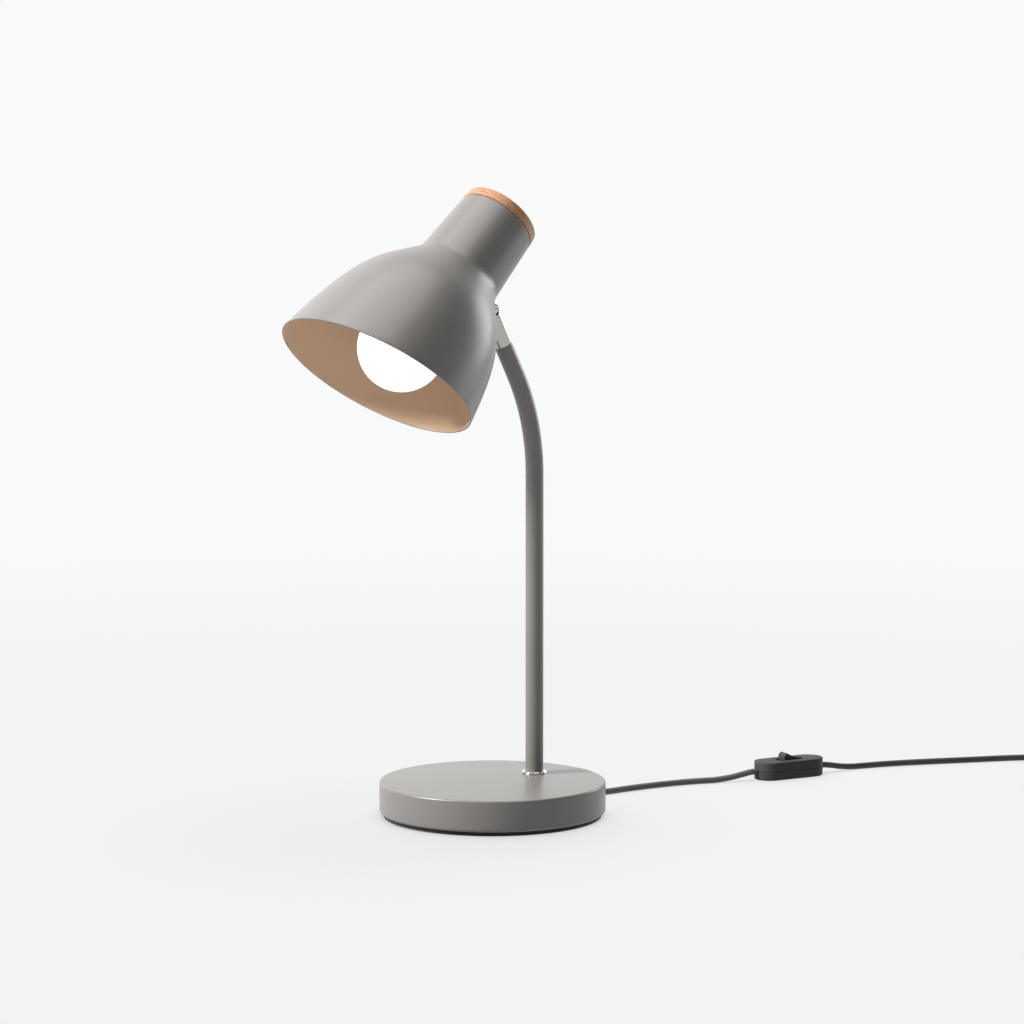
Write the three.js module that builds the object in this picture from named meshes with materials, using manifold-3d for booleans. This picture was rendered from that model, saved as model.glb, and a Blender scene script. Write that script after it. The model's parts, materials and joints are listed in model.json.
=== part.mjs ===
// Table lamp with a round weighted base, a bent tube arm, a tilting metal shade with a wooden cap,
// and a mains lead with an in-line rocker switch, a coil of spare lead and a two-pin plug.
// Millimetres, +Z up. The origin is the centre of the base's underside, on the surface it stands on.
// The shade reaches out to the front, which is -Y, and the lead leaves at the back, which is +Y.
import * as THREE from 'three';
import { mergeVertices } from 'three/addons/utils/BufferGeometryUtils.js';
import Module from 'manifold-3d';

const wasm = await Module();
wasm.setup();

// ---- Clearances ----
const FIT = 0.2;            // radial clearance of one round piece inside another
const SEAT = 0.3;           // gap between two faces that rest on each other
const SLIT = 0.8;           // width of the clamping slit in the ferrule

// ---- Base ----
const BASE_RADIUS = 75;
const BASE_HEIGHT = 23.5;
const COVER_WALL = 1.5;
const COVER_FILLET = 1.3;
const COVER_TUCK = 2.2;     // how far the cover's lower edge rounds in
const PAD_THICKNESS = 2.3;
const PAD_INSET = 2.6;
const POLE_OFFSET = 38.3;   // the pole stands this far behind the middle of the base
const POCKET_RADIUS = 15;   // room under the weight for the nut and the lead
const POCKET_TOP = 18.6;
const WASHER_THICKNESS = 1.5;
const LOCK_WASHER_THICKNESS = 1.1;
const NUT_HEIGHT = 3.8;
const STEM_BORE = 3.2;
const STEM_REACH = 26;      // length of the threaded stem inside the pole
const COLLAR_RADIUS = 8.4;
const COLLAR_HEIGHT = 1.4;

// ---- Arm ----
const TUBE_RADIUS = 6;
const TUBE_WALL = 0.9;
const POLE_TOP = 225;       // height at which the bend begins
const BEND_RADIUS = 138;
const BEND_ANGLE = THREE.MathUtils.degToRad(29);
const TIP_LENGTH = 50.5;    // from the end of the bend to the tilt axis

// ---- Hinge between arm and shade ----
const FERRULE_WALL = 0.6;
const FERRULE_LENGTH = 26.4; // from its lower lip to the tilt axis
const TUBE_END = 16.4;      // the tube stops this far short of the tilt axis
const TONGUE_THICKNESS = 2.2;
const FRICTION_WASHER = 0.8;
const BOLT_RADIUS = 1.5;
const BOLT_WASHER_RADIUS = 3.5;
const SLOT_DEPTH = 8;       // depth of the fork's slot below the tilt axis
const SLIT_ANGLE = THREE.MathUtils.degToRad(27);

// ---- Shade ----
const SHADE_TILT = THREE.MathUtils.degToRad(46.9);
const SHADE_WALL = 1;
const NECK_TOP_RADIUS = 26.8;
const NECK_FOOT_RADIUS = 29.6;
const NECK_ABOVE_AXIS = 43; // height of the neck's top over the tilt axis, along the shade
const NECK_BELOW_AXIS = 4.6;
const HINGE_ROOM = 0.4;     // between the ferrule's outer side and the neck
const AXIS_GAP = TUBE_RADIUS + FIT + FERRULE_WALL + HINGE_ROOM; // from the neck to the tilt axis
const BELL_DEPTH = 103.5;
const BELL_RADIUS = 68.2;
const BELL_SPARE = 8;       // extra length that the raked rim is cut from
const SHOULDER_HANDLE = new THREE.Vector2(18.4, -29.2);
const RIM_HANDLE = new THREE.Vector2(-10.7, 76.5);
const RIM_DEPTH = 97;       // depth of the rim's middle below the tilt axis
const RIM_RAKE = THREE.MathUtils.degToRad(11.1);
const CAP_THICKNESS = 7;
const CAP_FILLET = 1;

// ---- Lampholder and bulb ----
const GLOBE_RADIUS = 28.5;
const GLOBE_WALL = 1.2;
const GLOBE_DEPTH = 70;     // depth of the globe's centre below the tilt axis
const GLOBE_NECK = 20;      // the globe is cut off this far above its centre
const BULB_LENGTH = 61;     // from the globe's centre to the tip of its contact
const SCREW_CAP_RADIUS = 13.1;
const SCREW_CAP_LENGTH = 22;
const HOLDER_RADIUS = 18.5;
const HOLDER_WALL = 2.4;
const NIPPLE_RADIUS = 5;

// ---- Lead, switch and plug ----
const CORD_RADIUS = 2.1;
const GLAND_WALL = 1.7;     // of the gland's neck around the lead
const GLAND_LIP = 0.6;      // how far the gland's inner flange stands out from its neck
const CORD_EXIT_HEIGHT = PAD_THICKNESS + SEAT + CORD_RADIUS + GLAND_WALL + GLAND_LIP;
const BOOT_LENGTH = 22;
const BOOT_DROOP = THREE.MathUtils.degToRad(10.5);
const SWITCH_LENGTH = 53;
const SWITCH_WIDTH = 21;
const SWITCH_HEIGHT = 12.6;
const SWITCH_WALL = 1.6;
const SWITCH_PARTING = 6;
const SWITCH_PLACE = new THREE.Vector2(38.9, 246.5);
const SWITCH_TURN = THREE.MathUtils.degToRad(76);
const ROCKER_AXIS_HEIGHT = 9;
const ROCKER_HALF_LENGTH = 8;
const ROCKER_HALF_TRAVEL = THREE.MathUtils.degToRad(18);
const ROCKER_WIDTH = 8;
const COIL_CENTRE = new THREE.Vector2(161.6, 437.8);
const COIL_INNER = 15.3;
const COIL_OUTER = 32.9;
const COIL_HEIGHT = 12.9;
const TIE_THICKNESS = 0.9;
const TIE_WIDTH = 8;
const TIE_ANGLE = THREE.MathUtils.degToRad(-45);
const PLUG_PLACE = new THREE.Vector2(193.6, 386.7);
const PLUG_TURN = THREE.MathUtils.degToRad(-90);
const PLUG_LENGTH = 34;
const PLUG_WIDTH = 35;
const PLUG_THICKNESS = 13.7;
const PIN_RADIUS = 2;
const PIN_LENGTH = 19;
const PIN_SPACING = 19;
const PIN_SEAT = 6;

// The lead's route from the base to the switch and on to the coil, and its tail from coil to plug.
const GREY_ROUTE = [
  [0.0, 98.0, 2.9], [0.2, 103.5, 2.35], [0.7, 110, 2.15], [1.6, 120, 2.15], [3.0, 131, 2.15],
  [5.0, 143, 2.15], [7.8, 156, 2.15], [11.3, 168.5, 2.15], [15.9, 180.5, 2.15], [20.9, 191.5, 2.2],
  [25.4, 202, 3.2], [28.9, 210.5, 4.8], [31.1, 216.4, 5.85], [32.4, 220.8, 6], [33.5, 225, 6],
];
const BLACK_ROUTE = [
  [44.4, 268.5, 6], [45.8, 274.2, 5.85], [47.4, 281, 4.9], [49.2, 289, 3.4], [51.4, 298, 2.4],
  [54.4, 308.5, 2.15], [58.8, 320.5, 2.15], [64.6, 333.5, 2.15], [71.6, 347, 2.15],
  [79.4, 361, 2.15], [87.6, 375.5, 2.15], [95.8, 390, 2.15], [104, 404.5, 2.15],
  [110.2, 414.2, 2.15], [116.4, 424, 2.15], [121.1, 431.4, 2.15], [125.7, 438.6, 2.15],
];
const TAIL_ROUTE = [
  [192.3, 420.6, 10.3], [192.8, 417, 9.2], [193.3, 413.4, 7.8], [193.6, 409.8, 7],
];

// ---- Finishes ----
const finish = (color, roughness, metalness) =>
  new THREE.MeshStandardMaterial({ color, roughness, metalness });
const PAINT = finish(0x807b77, 0.45, 0.1);
const RUBBER = finish(0x161616, 0.85, 0);
const IRON = finish(0x4a4a4c, 0.7, 0.6);
const CHROME = finish(0xd6d6d8, 0.15, 1);
const NICKEL = finish(0xc4c1bb, 0.3, 1);
const STEEL = finish(0xa9abad, 0.35, 1);
const BRASS = finish(0xc8a24e, 0.3, 1);
const WOOD = finish(0xc08a5c, 0.6, 0);
const BLACK_PLASTIC = finish(0x1c1c1c, 0.5, 0);
const GREY_PLASTIC = finish(0x6a6663, 0.6, 0);
const WHITE_PLASTIC = finish(0xf0efea, 0.45, 0);
const OPAL = finish(0xfff6e6, 0.3, 0);
const FIBRE = finish(0x5d4636, 0.8, 0);

// ---- Solids ----

/** Six times the signed volume of an indexed geometry, negative where its faces point inwards. */
function signedVolume(geometry) {
  const at = geometry.attributes.position;
  const index = geometry.index.array;
  const [a, b, c] = [new THREE.Vector3(), new THREE.Vector3(), new THREE.Vector3()];
  let sum = 0;
  for (let i = 0; i < index.length; i += 3) {
    a.fromBufferAttribute(at, index[i]);
    b.fromBufferAttribute(at, index[i + 1]);
    c.fromBufferAttribute(at, index[i + 2]);
    sum += a.dot(b.cross(c));
  }
  return sum;
}

/** A copy with shared vertices merged, slivers at the poles dropped and its faces pointing out. */
function closed(source) {
  const bare = source.clone();
  bare.deleteAttribute('normal');
  bare.deleteAttribute('uv');
  const merged = mergeVertices(bare, 1e-4);
  const kept = [];
  const index = merged.index.array;
  for (let i = 0; i < index.length; i += 3) {
    const [a, b, c] = [index[i], index[i + 1], index[i + 2]];
    if (a !== b && b !== c && c !== a) kept.push(a, b, c);
  }
  merged.setIndex(kept);
  if (signedVolume(merged) < 0) {
    for (let i = 0; i < kept.length; i += 3) [kept[i], kept[i + 1]] = [kept[i + 1], kept[i]];
    merged.setIndex(kept);
  }
  return merged;
}

/** A closed geometry as a solid that can be joined and cut. */
function solid(source) {
  const geometry = closed(source);
  const vertProperties = new Float32Array(geometry.attributes.position.array);
  const triVerts = new Uint32Array(geometry.index.array);
  return new wasm.Manifold(new wasm.Mesh({ numProp: 3, vertProperties, triVerts }));
}

/** A solid back as a geometry. */
function geometryOf(body) {
  const mesh = body.getMesh();
  const geometry = new THREE.BufferGeometry();
  geometry.setAttribute('position', new THREE.BufferAttribute(new Float32Array(mesh.vertProperties), 3));
  geometry.setIndex(new THREE.BufferAttribute(new Uint32Array(mesh.triVerts), 1));
  return geometry;
}

/** One geometry with others taken out of it. */
const cut = (from, ...tools) =>
  geometryOf(tools.reduce((body, tool) => body.subtract(solid(tool)), solid(from)));

/** Several geometries as one. */
const join = (first, ...others) =>
  geometryOf(others.reduce((body, other) => body.add(solid(other)), solid(first)));

/** What two geometries share. */
const common = (first, second) => geometryOf(solid(first).intersect(solid(second)));

/** A profile of [radius, height] points turned about the Z axis. */
function turned(points, segments = 18) {
  const profile = points.map(([radius, height]) => new THREE.Vector2(radius, height));
  if (points[0][0] > 0 || points.at(-1)[0] > 0) profile.push(profile[0].clone());
  return new THREE.LatheGeometry(profile, segments).rotateX(Math.PI / 2);
}

/** A ring, or a disc where the inner radius is 0, between two heights. */
const ring = (inner, outer, low, high, segments = 18) =>
  turned([[inner, low], [outer, low], [outer, high], [inner, high]], segments);

/** A round bar along X, Y or Z between two places on its axis. */
function bar(axis, radius, from, to, segments = 12) {
  const shape = new THREE.CylinderGeometry(radius, radius, to - from, segments);
  shape.translate(0, (from + to) / 2, 0);
  if (axis === 'x') shape.rotateZ(-Math.PI / 2);
  if (axis === 'z') shape.rotateX(Math.PI / 2);
  return shape;
}

/** A block between two corners. */
function block([x0, y0, z0], [x1, y1, z1]) {
  const shape = new THREE.BoxGeometry(x1 - x0, y1 - y0, z1 - z0);
  return shape.translate((x0 + x1) / 2, (y0 + y1) / 2, (z0 + z1) / 2);
}

/** A hexagonal nut about the Z axis. */
function nut(acrossFlats, bore, low, high) {
  const corner = acrossFlats / Math.sqrt(3);
  return cut(bar('z', corner, low, high, 6), bar('z', bore, low - 1, high + 1));
}

/** A path through given stations, whose section keeps one side turned to a chosen direction. */
class StationPath extends THREE.Curve {
  constructor(stations, upright) {
    super();
    this.stations = stations;
    this.upright = upright;
  }

  getSpacedPoints() {
    return this.stations.map((station) => station.clone());
  }

  computeFrenetFrames() {
    const frames = { tangents: [], normals: [], binormals: [] };
    const last = this.stations.length - 1;
    this.stations.forEach((station, i) => {
      const ahead = this.stations[Math.min(i + 1, last)];
      const behind = this.stations[Math.max(i - 1, 0)];
      const tangent = ahead.clone().sub(behind).normalize();
      const normal = this.upright.clone().cross(tangent).normalize();
      frames.tangents.push(tangent);
      frames.normals.push(normal);
      frames.binormals.push(tangent.clone().cross(normal));
    });
    return frames;
  }
}

/** A round tube, or a round rod where the bore is 0, through a list of stations. */
function tube(stations, radius, bore, sides, upright) {
  const section = new THREE.Shape();
  for (let i = 0; i < sides; i += 1) {
    const angle = (2 * Math.PI * i) / sides;
    const place = [radius * Math.cos(angle), radius * Math.sin(angle)];
    if (i === 0) section.moveTo(...place);
    else section.lineTo(...place);
  }
  section.closePath();
  if (bore > 0) {
    const hole = new THREE.Path();
    for (let i = 0; i < sides; i += 1) {
      const angle = (-2 * Math.PI * i) / sides;
      const place = [bore * Math.cos(angle), bore * Math.sin(angle)];
      if (i === 0) hole.moveTo(...place);
      else hole.lineTo(...place);
    }
    hole.closePath();
    section.holes.push(hole);
  }
  const extrudePath = new StationPath(stations, upright);
  return new THREE.ExtrudeGeometry(section, { steps: stations.length - 1, extrudePath });
}

/** Stations at even steps along a smooth curve through chosen points. */
function smoothStations(points, step) {
  const curve = new THREE.CatmullRomCurve3(points.map((point) => new THREE.Vector3(...point)));
  return curve.getSpacedPoints(Math.ceil(curve.getLength() / step));
}

// ---- The assembly ----
const lamp = new THREE.Group();

/** Adds a named mesh to a group. */
function add(group, name, geometry, material) {
  const mesh = new THREE.Mesh(closed(geometry), material);
  mesh.name = name;
  group.add(mesh);
}

const X_AXIS = new THREE.Vector3(1, 0, 0);
const Z_AXIS = new THREE.Vector3(0, 0, 1);

// Places along the arm: the pole, the bend towards the front and the straight tip.
const bendEnd = new THREE.Vector3(
  0,
  POLE_OFFSET - BEND_RADIUS * (1 - Math.cos(BEND_ANGLE)),
  POLE_TOP + BEND_RADIUS * Math.sin(BEND_ANGLE),
);
const tipDirection = new THREE.Vector3(0, -Math.sin(BEND_ANGLE), Math.cos(BEND_ANGLE));
const pivot = bendEnd.clone().addScaledVector(tipDirection, TIP_LENGTH);

/** The arm's centre line from one height on the pole to one distance short of the tilt axis. */
function armStations(fromHeight, shortOfPivot) {
  const stations = [new THREE.Vector3(0, POLE_OFFSET, fromHeight)];
  const bendSteps = 7;
  for (let i = 0; i <= bendSteps; i += 1) {
    const angle = (BEND_ANGLE * i) / bendSteps;
    const back = POLE_OFFSET - BEND_RADIUS * (1 - Math.cos(angle));
    stations.push(new THREE.Vector3(0, back, POLE_TOP + BEND_RADIUS * Math.sin(angle)));
  }
  stations.push(pivot.clone().addScaledVector(tipDirection, -shortOfPivot));
  return stations;
}

// ---- Base: foot pad, weight, cover, collar, stem and its nut ----
const tubeBore = TUBE_RADIUS - TUBE_WALL;
const stemRadius = tubeBore - FIT;
const stemHole = (stemRadius + FIT) / Math.cos(Math.PI / 12);   // its flats clear the stem
const coverFoot = PAD_THICKNESS + SEAT;
const weightRadius = BASE_RADIUS - COVER_WALL - COVER_TUCK - SEAT;
const weightTop = BASE_HEIGHT - COVER_WALL - SEAT;
const gripRadius = CORD_RADIUS + GLAND_WALL;   // the gland's neck, in the cover's wall
const washerTop = POCKET_TOP - FIT;
const lockWasherTop = washerTop - WASHER_THICKNESS - FIT;
const nutTop = lockWasherTop - LOCK_WASHER_THICKNESS - FIT;
const stemFoot = nutTop - NUT_HEIGHT - 0.7;

function baseCover() {
  const inside = BASE_RADIUS - COVER_WALL;
  const shell = turned([
    [0, BASE_HEIGHT], [BASE_RADIUS - COVER_FILLET, BASE_HEIGHT],
    [BASE_RADIUS - 0.3 * COVER_FILLET, BASE_HEIGHT - 0.3 * COVER_FILLET],
    [BASE_RADIUS, BASE_HEIGHT - COVER_FILLET],
    [BASE_RADIUS, coverFoot + 3], [BASE_RADIUS - 0.3 * COVER_TUCK, coverFoot + 1.2],
    [BASE_RADIUS - COVER_TUCK, coverFoot], [inside - COVER_TUCK, coverFoot + 0.3],
    [inside, coverFoot + 3], [inside, BASE_HEIGHT - COVER_WALL], [0, BASE_HEIGHT - COVER_WALL],
  ], 40);
  const stemOpening = bar('z', stemHole, 0, BASE_HEIGHT + 1).translate(0, POLE_OFFSET, 0);
  const notch = join(
    bar('y', gripRadius + SEAT, weightRadius - 4, BASE_RADIUS + 1).translate(0, 0, CORD_EXIT_HEIGHT),
    block(
      [-gripRadius - SEAT, weightRadius - 4, 0],
      [gripRadius + SEAT, BASE_RADIUS + 1, CORD_EXIT_HEIGHT],
    ),
  );
  return cut(shell, stemOpening, notch);
}

function baseWeight() {
  const disc = ring(0, weightRadius, coverFoot, weightTop, 40);
  const behindPole = (shape) => shape.translate(0, POLE_OFFSET, 0);
  const channel = gripRadius + 1.5;
  return cut(
    disc,
    behindPole(bar('z', POCKET_RADIUS, 0, POCKET_TOP, 32)),
    behindPole(bar('z', stemHole, 0, BASE_HEIGHT)),
    block([-channel, POLE_OFFSET, 0], [channel, BASE_RADIUS, CORD_EXIT_HEIGHT + channel]),
  );
}

function poleCollar() {
  const inner = TUBE_RADIUS + FIT;
  const foot = BASE_HEIGHT + FIT;
  return turned([
    [inner, foot], [COLLAR_RADIUS, foot], [COLLAR_RADIUS, foot + 0.6 * COLLAR_HEIGHT],
    [COLLAR_RADIUS - 0.7, foot + COLLAR_HEIGHT], [inner, foot + COLLAR_HEIGHT],
  ]).translate(0, POLE_OFFSET, 0);
}

function cordGland() {
  const foot = new THREE.Vector3(0, BASE_RADIUS, CORD_EXIT_HEIGHT);
  const flange = gripRadius + GLAND_LIP;
  const grip = turned([
    [0, -COVER_WALL - 2.2], [flange, -COVER_WALL - 2.2], [flange, -COVER_WALL - SEAT - 0.4],
    [gripRadius, -COVER_WALL - SEAT - 0.4], [gripRadius, 1.4], [0, 1.4],
  ], 16).rotateX(-Math.PI / 2);
  const boot = turned([
    [0, 0], [gripRadius, 0], [gripRadius - 0.3, 4], [CORD_RADIUS + 0.7, BOOT_LENGTH],
    [0, BOOT_LENGTH],
  ], 16).rotateX(-Math.PI / 2);
  boot.rotateX(-BOOT_DROOP).translate(0, 0.9, 0);
  return join(grip, boot).translate(foot.x, foot.y, foot.z);
}

add(lamp, 'foot_pad', ring(0, BASE_RADIUS - PAD_INSET, 0, PAD_THICKNESS, 40), RUBBER);
add(lamp, 'base_weight', baseWeight(), IRON);
add(lamp, 'base_cover', baseCover(), PAINT);
add(lamp, 'pole_collar', poleCollar(), CHROME);
add(lamp, 'cord_gland', cordGland(), GREY_PLASTIC);

const stem = new THREE.Group();
stem.position.y = POLE_OFFSET;
lamp.add(stem);
const stemTop = BASE_HEIGHT + FIT + STEM_REACH;
add(stem, 'stem_tube', ring(STEM_BORE, stemRadius, stemFoot, stemTop, 20), STEEL);
add(stem, 'stem_washer',
  ring(stemHole, POCKET_RADIUS - 2.5, washerTop - WASHER_THICKNESS, washerTop), STEEL);
add(stem, 'stem_lock_washer',
  ring(stemHole, stemHole + 3.4, lockWasherTop - LOCK_WASHER_THICKNESS, lockWasherTop), STEEL);
add(stem, 'stem_nut', nut(2 * stemRadius + 5, stemHole, nutTop - NUT_HEIGHT, nutTop), STEEL);

// ---- Arm: the bent tube and the lead inside it ----
const armLeadRadius = 1.6;

function armLead() {
  const rise = stemFoot + 6;
  const low = PAD_THICKNESS + armLeadRadius + 1.3;
  const entry = [
    [0, BASE_RADIUS - COVER_WALL - 3.2, CORD_EXIT_HEIGHT], [0, POLE_OFFSET + 25, low + 1.2],
    [0, POLE_OFFSET + 15, low], [0, POLE_OFFSET + 7.6, low], [0, POLE_OFFSET + 3.2, low + 1.6],
    [0, POLE_OFFSET + 0.8, low + 4.2], [0, POLE_OFFSET, stemFoot + 1.6],
  ].map((point) => new THREE.Vector3(...point));
  return tube([...entry, ...armStations(rise, FERRULE_LENGTH + 1)], armLeadRadius, 0, 8, X_AXIS);
}

add(lamp, 'arm_tube', tube(armStations(BASE_HEIGHT + FIT, TUBE_END), TUBE_RADIUS, tubeBore, 16, X_AXIS),
  PAINT);
add(lamp, 'arm_lead', armLead(), GREY_PLASTIC);

// ---- Arm end: ferrule, forked knuckle, bolt, nut and washers ----
// In this group the tilt axis is X and the arm comes up along +Z.
const armEnd = new THREE.Group();
armEnd.position.copy(pivot);
armEnd.rotation.x = BEND_ANGLE;
lamp.add(armEnd);

const ferruleBore = TUBE_RADIUS + FIT;
const ferruleRadius = ferruleBore + FERRULE_WALL;
const endRadius = ferruleRadius - 0.2;
const knuckleRadius = ferruleBore - FIT;
const slotHalf = TONGUE_THICKNESS / 2 + FRICTION_WASHER + 2 * FIT;
const boltHole = BOLT_RADIUS + FIT;
const washerRoomRadius = BOLT_WASHER_RADIUS + 0.4;
const earFace = knuckleRadius - 2.1;    // flats on the knuckle that carry the washers

/** The half of a round end above the tilt axis, as a piece to keep. */
function roundedEnd() {
  const wide = 2 * ferruleRadius;
  return join(
    bar('x', endRadius, -wide, wide, 24),
    block([-wide, -wide, -2 * FERRULE_LENGTH], [wide, wide, 0]),
  );
}

const forkSlot = block([-slotHalf, -20, -SLOT_DEPTH], [slotHalf, 20, 20]);

function ferruleSleeve() {
  const sleeve = ring(ferruleBore, ferruleRadius, -FERRULE_LENGTH, endRadius + 1, 28);
  const slit = block([-SLIT / 2, -20, -FERRULE_LENGTH - 1], [SLIT / 2, 0, -SLOT_DEPTH - 4])
    .rotateZ(SLIT_ANGLE);
  const washerRoom = bar('x', washerRoomRadius, -20, 20, 20);
  return cut(common(sleeve, roundedEnd()), forkSlot, slit, washerRoom);
}

function armKnuckle() {
  const plug = tubeBore - FIT;
  const body = turned([
    [0, -FERRULE_LENGTH + 2], [plug, -FERRULE_LENGTH + 2], [plug, -TUBE_END + SEAT],
    [knuckleRadius, -TUBE_END + SEAT], [knuckleRadius, endRadius + 1], [0, endRadius + 1],
  ], 24);
  const faceCut = (from, to) =>
    common(bar('x', washerRoomRadius, from, to, 20), block([from, -20, -20], [to, 20, 20]));
  return cut(
    common(body, roundedEnd()),
    forkSlot,
    bar('x', boltHole, -20, 20, 16),
    bar('z', STEM_BORE - 0.6, -FERRULE_LENGTH, 0, 16),
    faceCut(-20, -earFace),
    faceCut(earFace, 20),
  );
}

function pivotBolt() {
  const headFoot = earFace + FIT + FRICTION_WASHER + FIT;
  return turned([
    [0, -headFoot - 4], [BOLT_RADIUS, -headFoot - 4], [BOLT_RADIUS, headFoot],
    [2.9, headFoot], [2.7, headFoot + 0.9], [1.9, headFoot + 1.5], [0, headFoot + 1.6],
  ], 20).rotateY(Math.PI / 2);
}

/** A washer on the tilt axis, between two places along X. */
const axisWasher = (outer, from, to) => ring(boltHole, outer, from, to, 16).rotateY(Math.PI / 2);

add(armEnd, 'ferrule_sleeve', ferruleSleeve(), NICKEL);
add(armEnd, 'arm_knuckle', armKnuckle(), NICKEL);
add(armEnd, 'pivot_bolt', pivotBolt(), STEEL);
for (const [side, name] of [[1, 'right'], [-1, 'left']]) {
  const outside = [earFace + FIT, earFace + FIT + FRICTION_WASHER].map((x) => side * x).sort((a, b) => a - b);
  const inside = [TONGUE_THICKNESS / 2 + FIT, TONGUE_THICKNESS / 2 + FIT + FRICTION_WASHER]
    .map((x) => side * x).sort((a, b) => a - b);
  add(armEnd, `pivot_washer_${name}`, axisWasher(BOLT_WASHER_RADIUS, ...outside), STEEL);
  add(armEnd, `friction_washer_${name}`, axisWasher(endRadius - 1.2, ...inside), FIBRE);
}
const nutFoot = earFace + 2 * FIT + FRICTION_WASHER;
add(armEnd, 'pivot_nut', nut(5.5, boltHole, -nutFoot - 2.6, -nutFoot).rotateY(Math.PI / 2), STEEL);

// ---- Shade: shell, lug and rivets, wooden cap ----
// In this group the tilt axis is X, the shade's own axis is vertical and its mouth points down.
const shade = new THREE.Group();
shade.position.copy(pivot);
shade.rotation.x = -SHADE_TILT;
lamp.add(shade);

const neckFoot = -NECK_BELOW_AXIS;
const neckTop = NECK_ABOVE_AXIS;
const neckTaper = (NECK_FOOT_RADIUS - NECK_TOP_RADIUS) / (neckTop - neckFoot);
const neckRadius = (height) => NECK_FOOT_RADIUS - neckTaper * (height - neckFoot);
const shadeAxis = -(neckRadius(0) + AXIS_GAP);
const tongueRadius = endRadius - 1;
const flangeThickness = 1.6;
const rivetHeights = [['lower', 12.5], ['upper', 20.5]];
const rivetRadius = 1.5;
const nippleHole = NIPPLE_RADIUS + FIT;
const capScrewPlace = 18;
const capScrewRadius = 1.5;

/** Moves a shape turned about Z onto the shade's own axis. */
const onShadeAxis = (shape) => shape.translate(0, shadeAxis, 0);

/** The outer side of the bell from the neck's foot down past the rim, as [radius, height] points. */
function bellPoints() {
  const start = new THREE.Vector2(NECK_FOOT_RADIUS, neckFoot);
  const end = new THREE.Vector2(BELL_RADIUS, neckFoot - BELL_DEPTH);
  const curve = new THREE.CubicBezierCurve(
    start, start.clone().add(SHOULDER_HANDLE), end.clone().add(RIM_HANDLE), end,
  );
  const slope = -RIM_HANDLE.x / RIM_HANDLE.y;
  const points = curve.getSpacedPoints(8).map((point) => [point.x, point.y]);
  return [...points, [BELL_RADIUS + slope * BELL_SPARE, end.y - BELL_SPARE]];
}

/** The same points moved inwards by a wall. */
function insideOf(points, wall) {
  return points.map(([radius, height], i) => {
    const [r0, z0] = points[Math.max(i - 1, 0)];
    const [r1, z1] = points[Math.min(i + 1, points.length - 1)];
    const length = Math.hypot(r1 - r0, z1 - z0);
    return [radius + (wall * (z1 - z0)) / length, height - (wall * (r1 - r0)) / length];
  });
}

function shadeShell() {
  const topEdge = 0.8;
  const outer = [[NECK_TOP_RADIUS, neckTop - topEdge], ...bellPoints()];
  const inner = insideOf(outer, SHADE_WALL);
  inner[0] = [neckRadius(neckTop) - SHADE_WALL, neckTop - SHADE_WALL];
  const shell = onShadeAxis(turned([
    [nippleHole, neckTop - SHADE_WALL], [nippleHole, neckTop], [NECK_TOP_RADIUS - topEdge, neckTop],
    ...outer, ...inner.reverse(),
  ], 40));
  const beyond = 2 * BELL_RADIUS;
  const belowRim = block([-beyond, -beyond, -beyond], [beyond, beyond, 0])
    .rotateX(RIM_RAKE).translate(0, shadeAxis, -RIM_DEPTH);
  const tongueSlot = block(
    [-TONGUE_THICKNESS / 2 - SEAT, -AXIS_GAP - 6, -tongueRadius + 1.6],
    [TONGUE_THICKNESS / 2 + SEAT, -AXIS_GAP + 6, tongueRadius + SEAT],
  );
  const rivetHoles = rivetHeights.map(([, height]) =>
    bar('y', rivetRadius + FIT, -AXIS_GAP - 8, -AXIS_GAP + 8, 12).translate(0, 0, height));
  const screwHoles = [-1, 1].map((side) =>
    bar('z', capScrewRadius + FIT, neckTop - 4, neckTop + 4, 12)
      .translate(side * capScrewPlace, shadeAxis, 0));
  return cut(shell, belowRim, tongueSlot, ...rivetHoles, ...screwHoles);
}

function shadeLug() {
  const half = TONGUE_THICKNESS / 2;
  const low = neckFoot + 0.8;
  const high = rivetHeights[1][1] + 4.5;
  const away = SHADE_WALL + SEAT;
  const flangeRing = onShadeAxis(turned([
    [neckRadius(low) - away - flangeThickness, low], [neckRadius(low) - away, low],
    [neckRadius(high) - away, high], [neckRadius(high) - away - flangeThickness, high],
  ], 40));
  const window = block([-7, -AXIS_GAP - 12, -60], [7, 0, 60]);
  const tongue = join(
    bar('x', tongueRadius, -half, half, 28),
    block([-half, -AXIS_GAP - away - 1.2, -tongueRadius + 2], [half, 0, tongueRadius]),
  );
  const rivetHoles = rivetHeights.map(([, height]) =>
    bar('y', rivetRadius + FIT, -AXIS_GAP - 12, -AXIS_GAP + 4, 12).translate(0, 0, height));
  return cut(join(common(flangeRing, window), tongue), bar('x', boltHole, -20, 20, 16), ...rivetHoles);
}

/** A domed rivet through the neck and the lug's flange, with its head outside. */
function lugRivet(height) {
  const face = shadeAxis + neckRadius(height);
  const inner = face - SHADE_WALL - flangeThickness - 3 * SEAT;
  return turned([
    [0, inner - 0.9], [2.3, inner - 0.9], [2.3, inner - 0.1], [rivetRadius, inner - 0.1],
    [rivetRadius, face + SEAT], [2.7, face + SEAT], [2.3, face + 0.9], [1.2, face + 1.3],
    [0, face + 1.4],
  ], 12).rotateX(-Math.PI / 2).translate(0, 0, height);
}

const capFoot = neckTop + SEAT;
const capNutRoom = 9.4;
const capNutDepth = 4.2;

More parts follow.
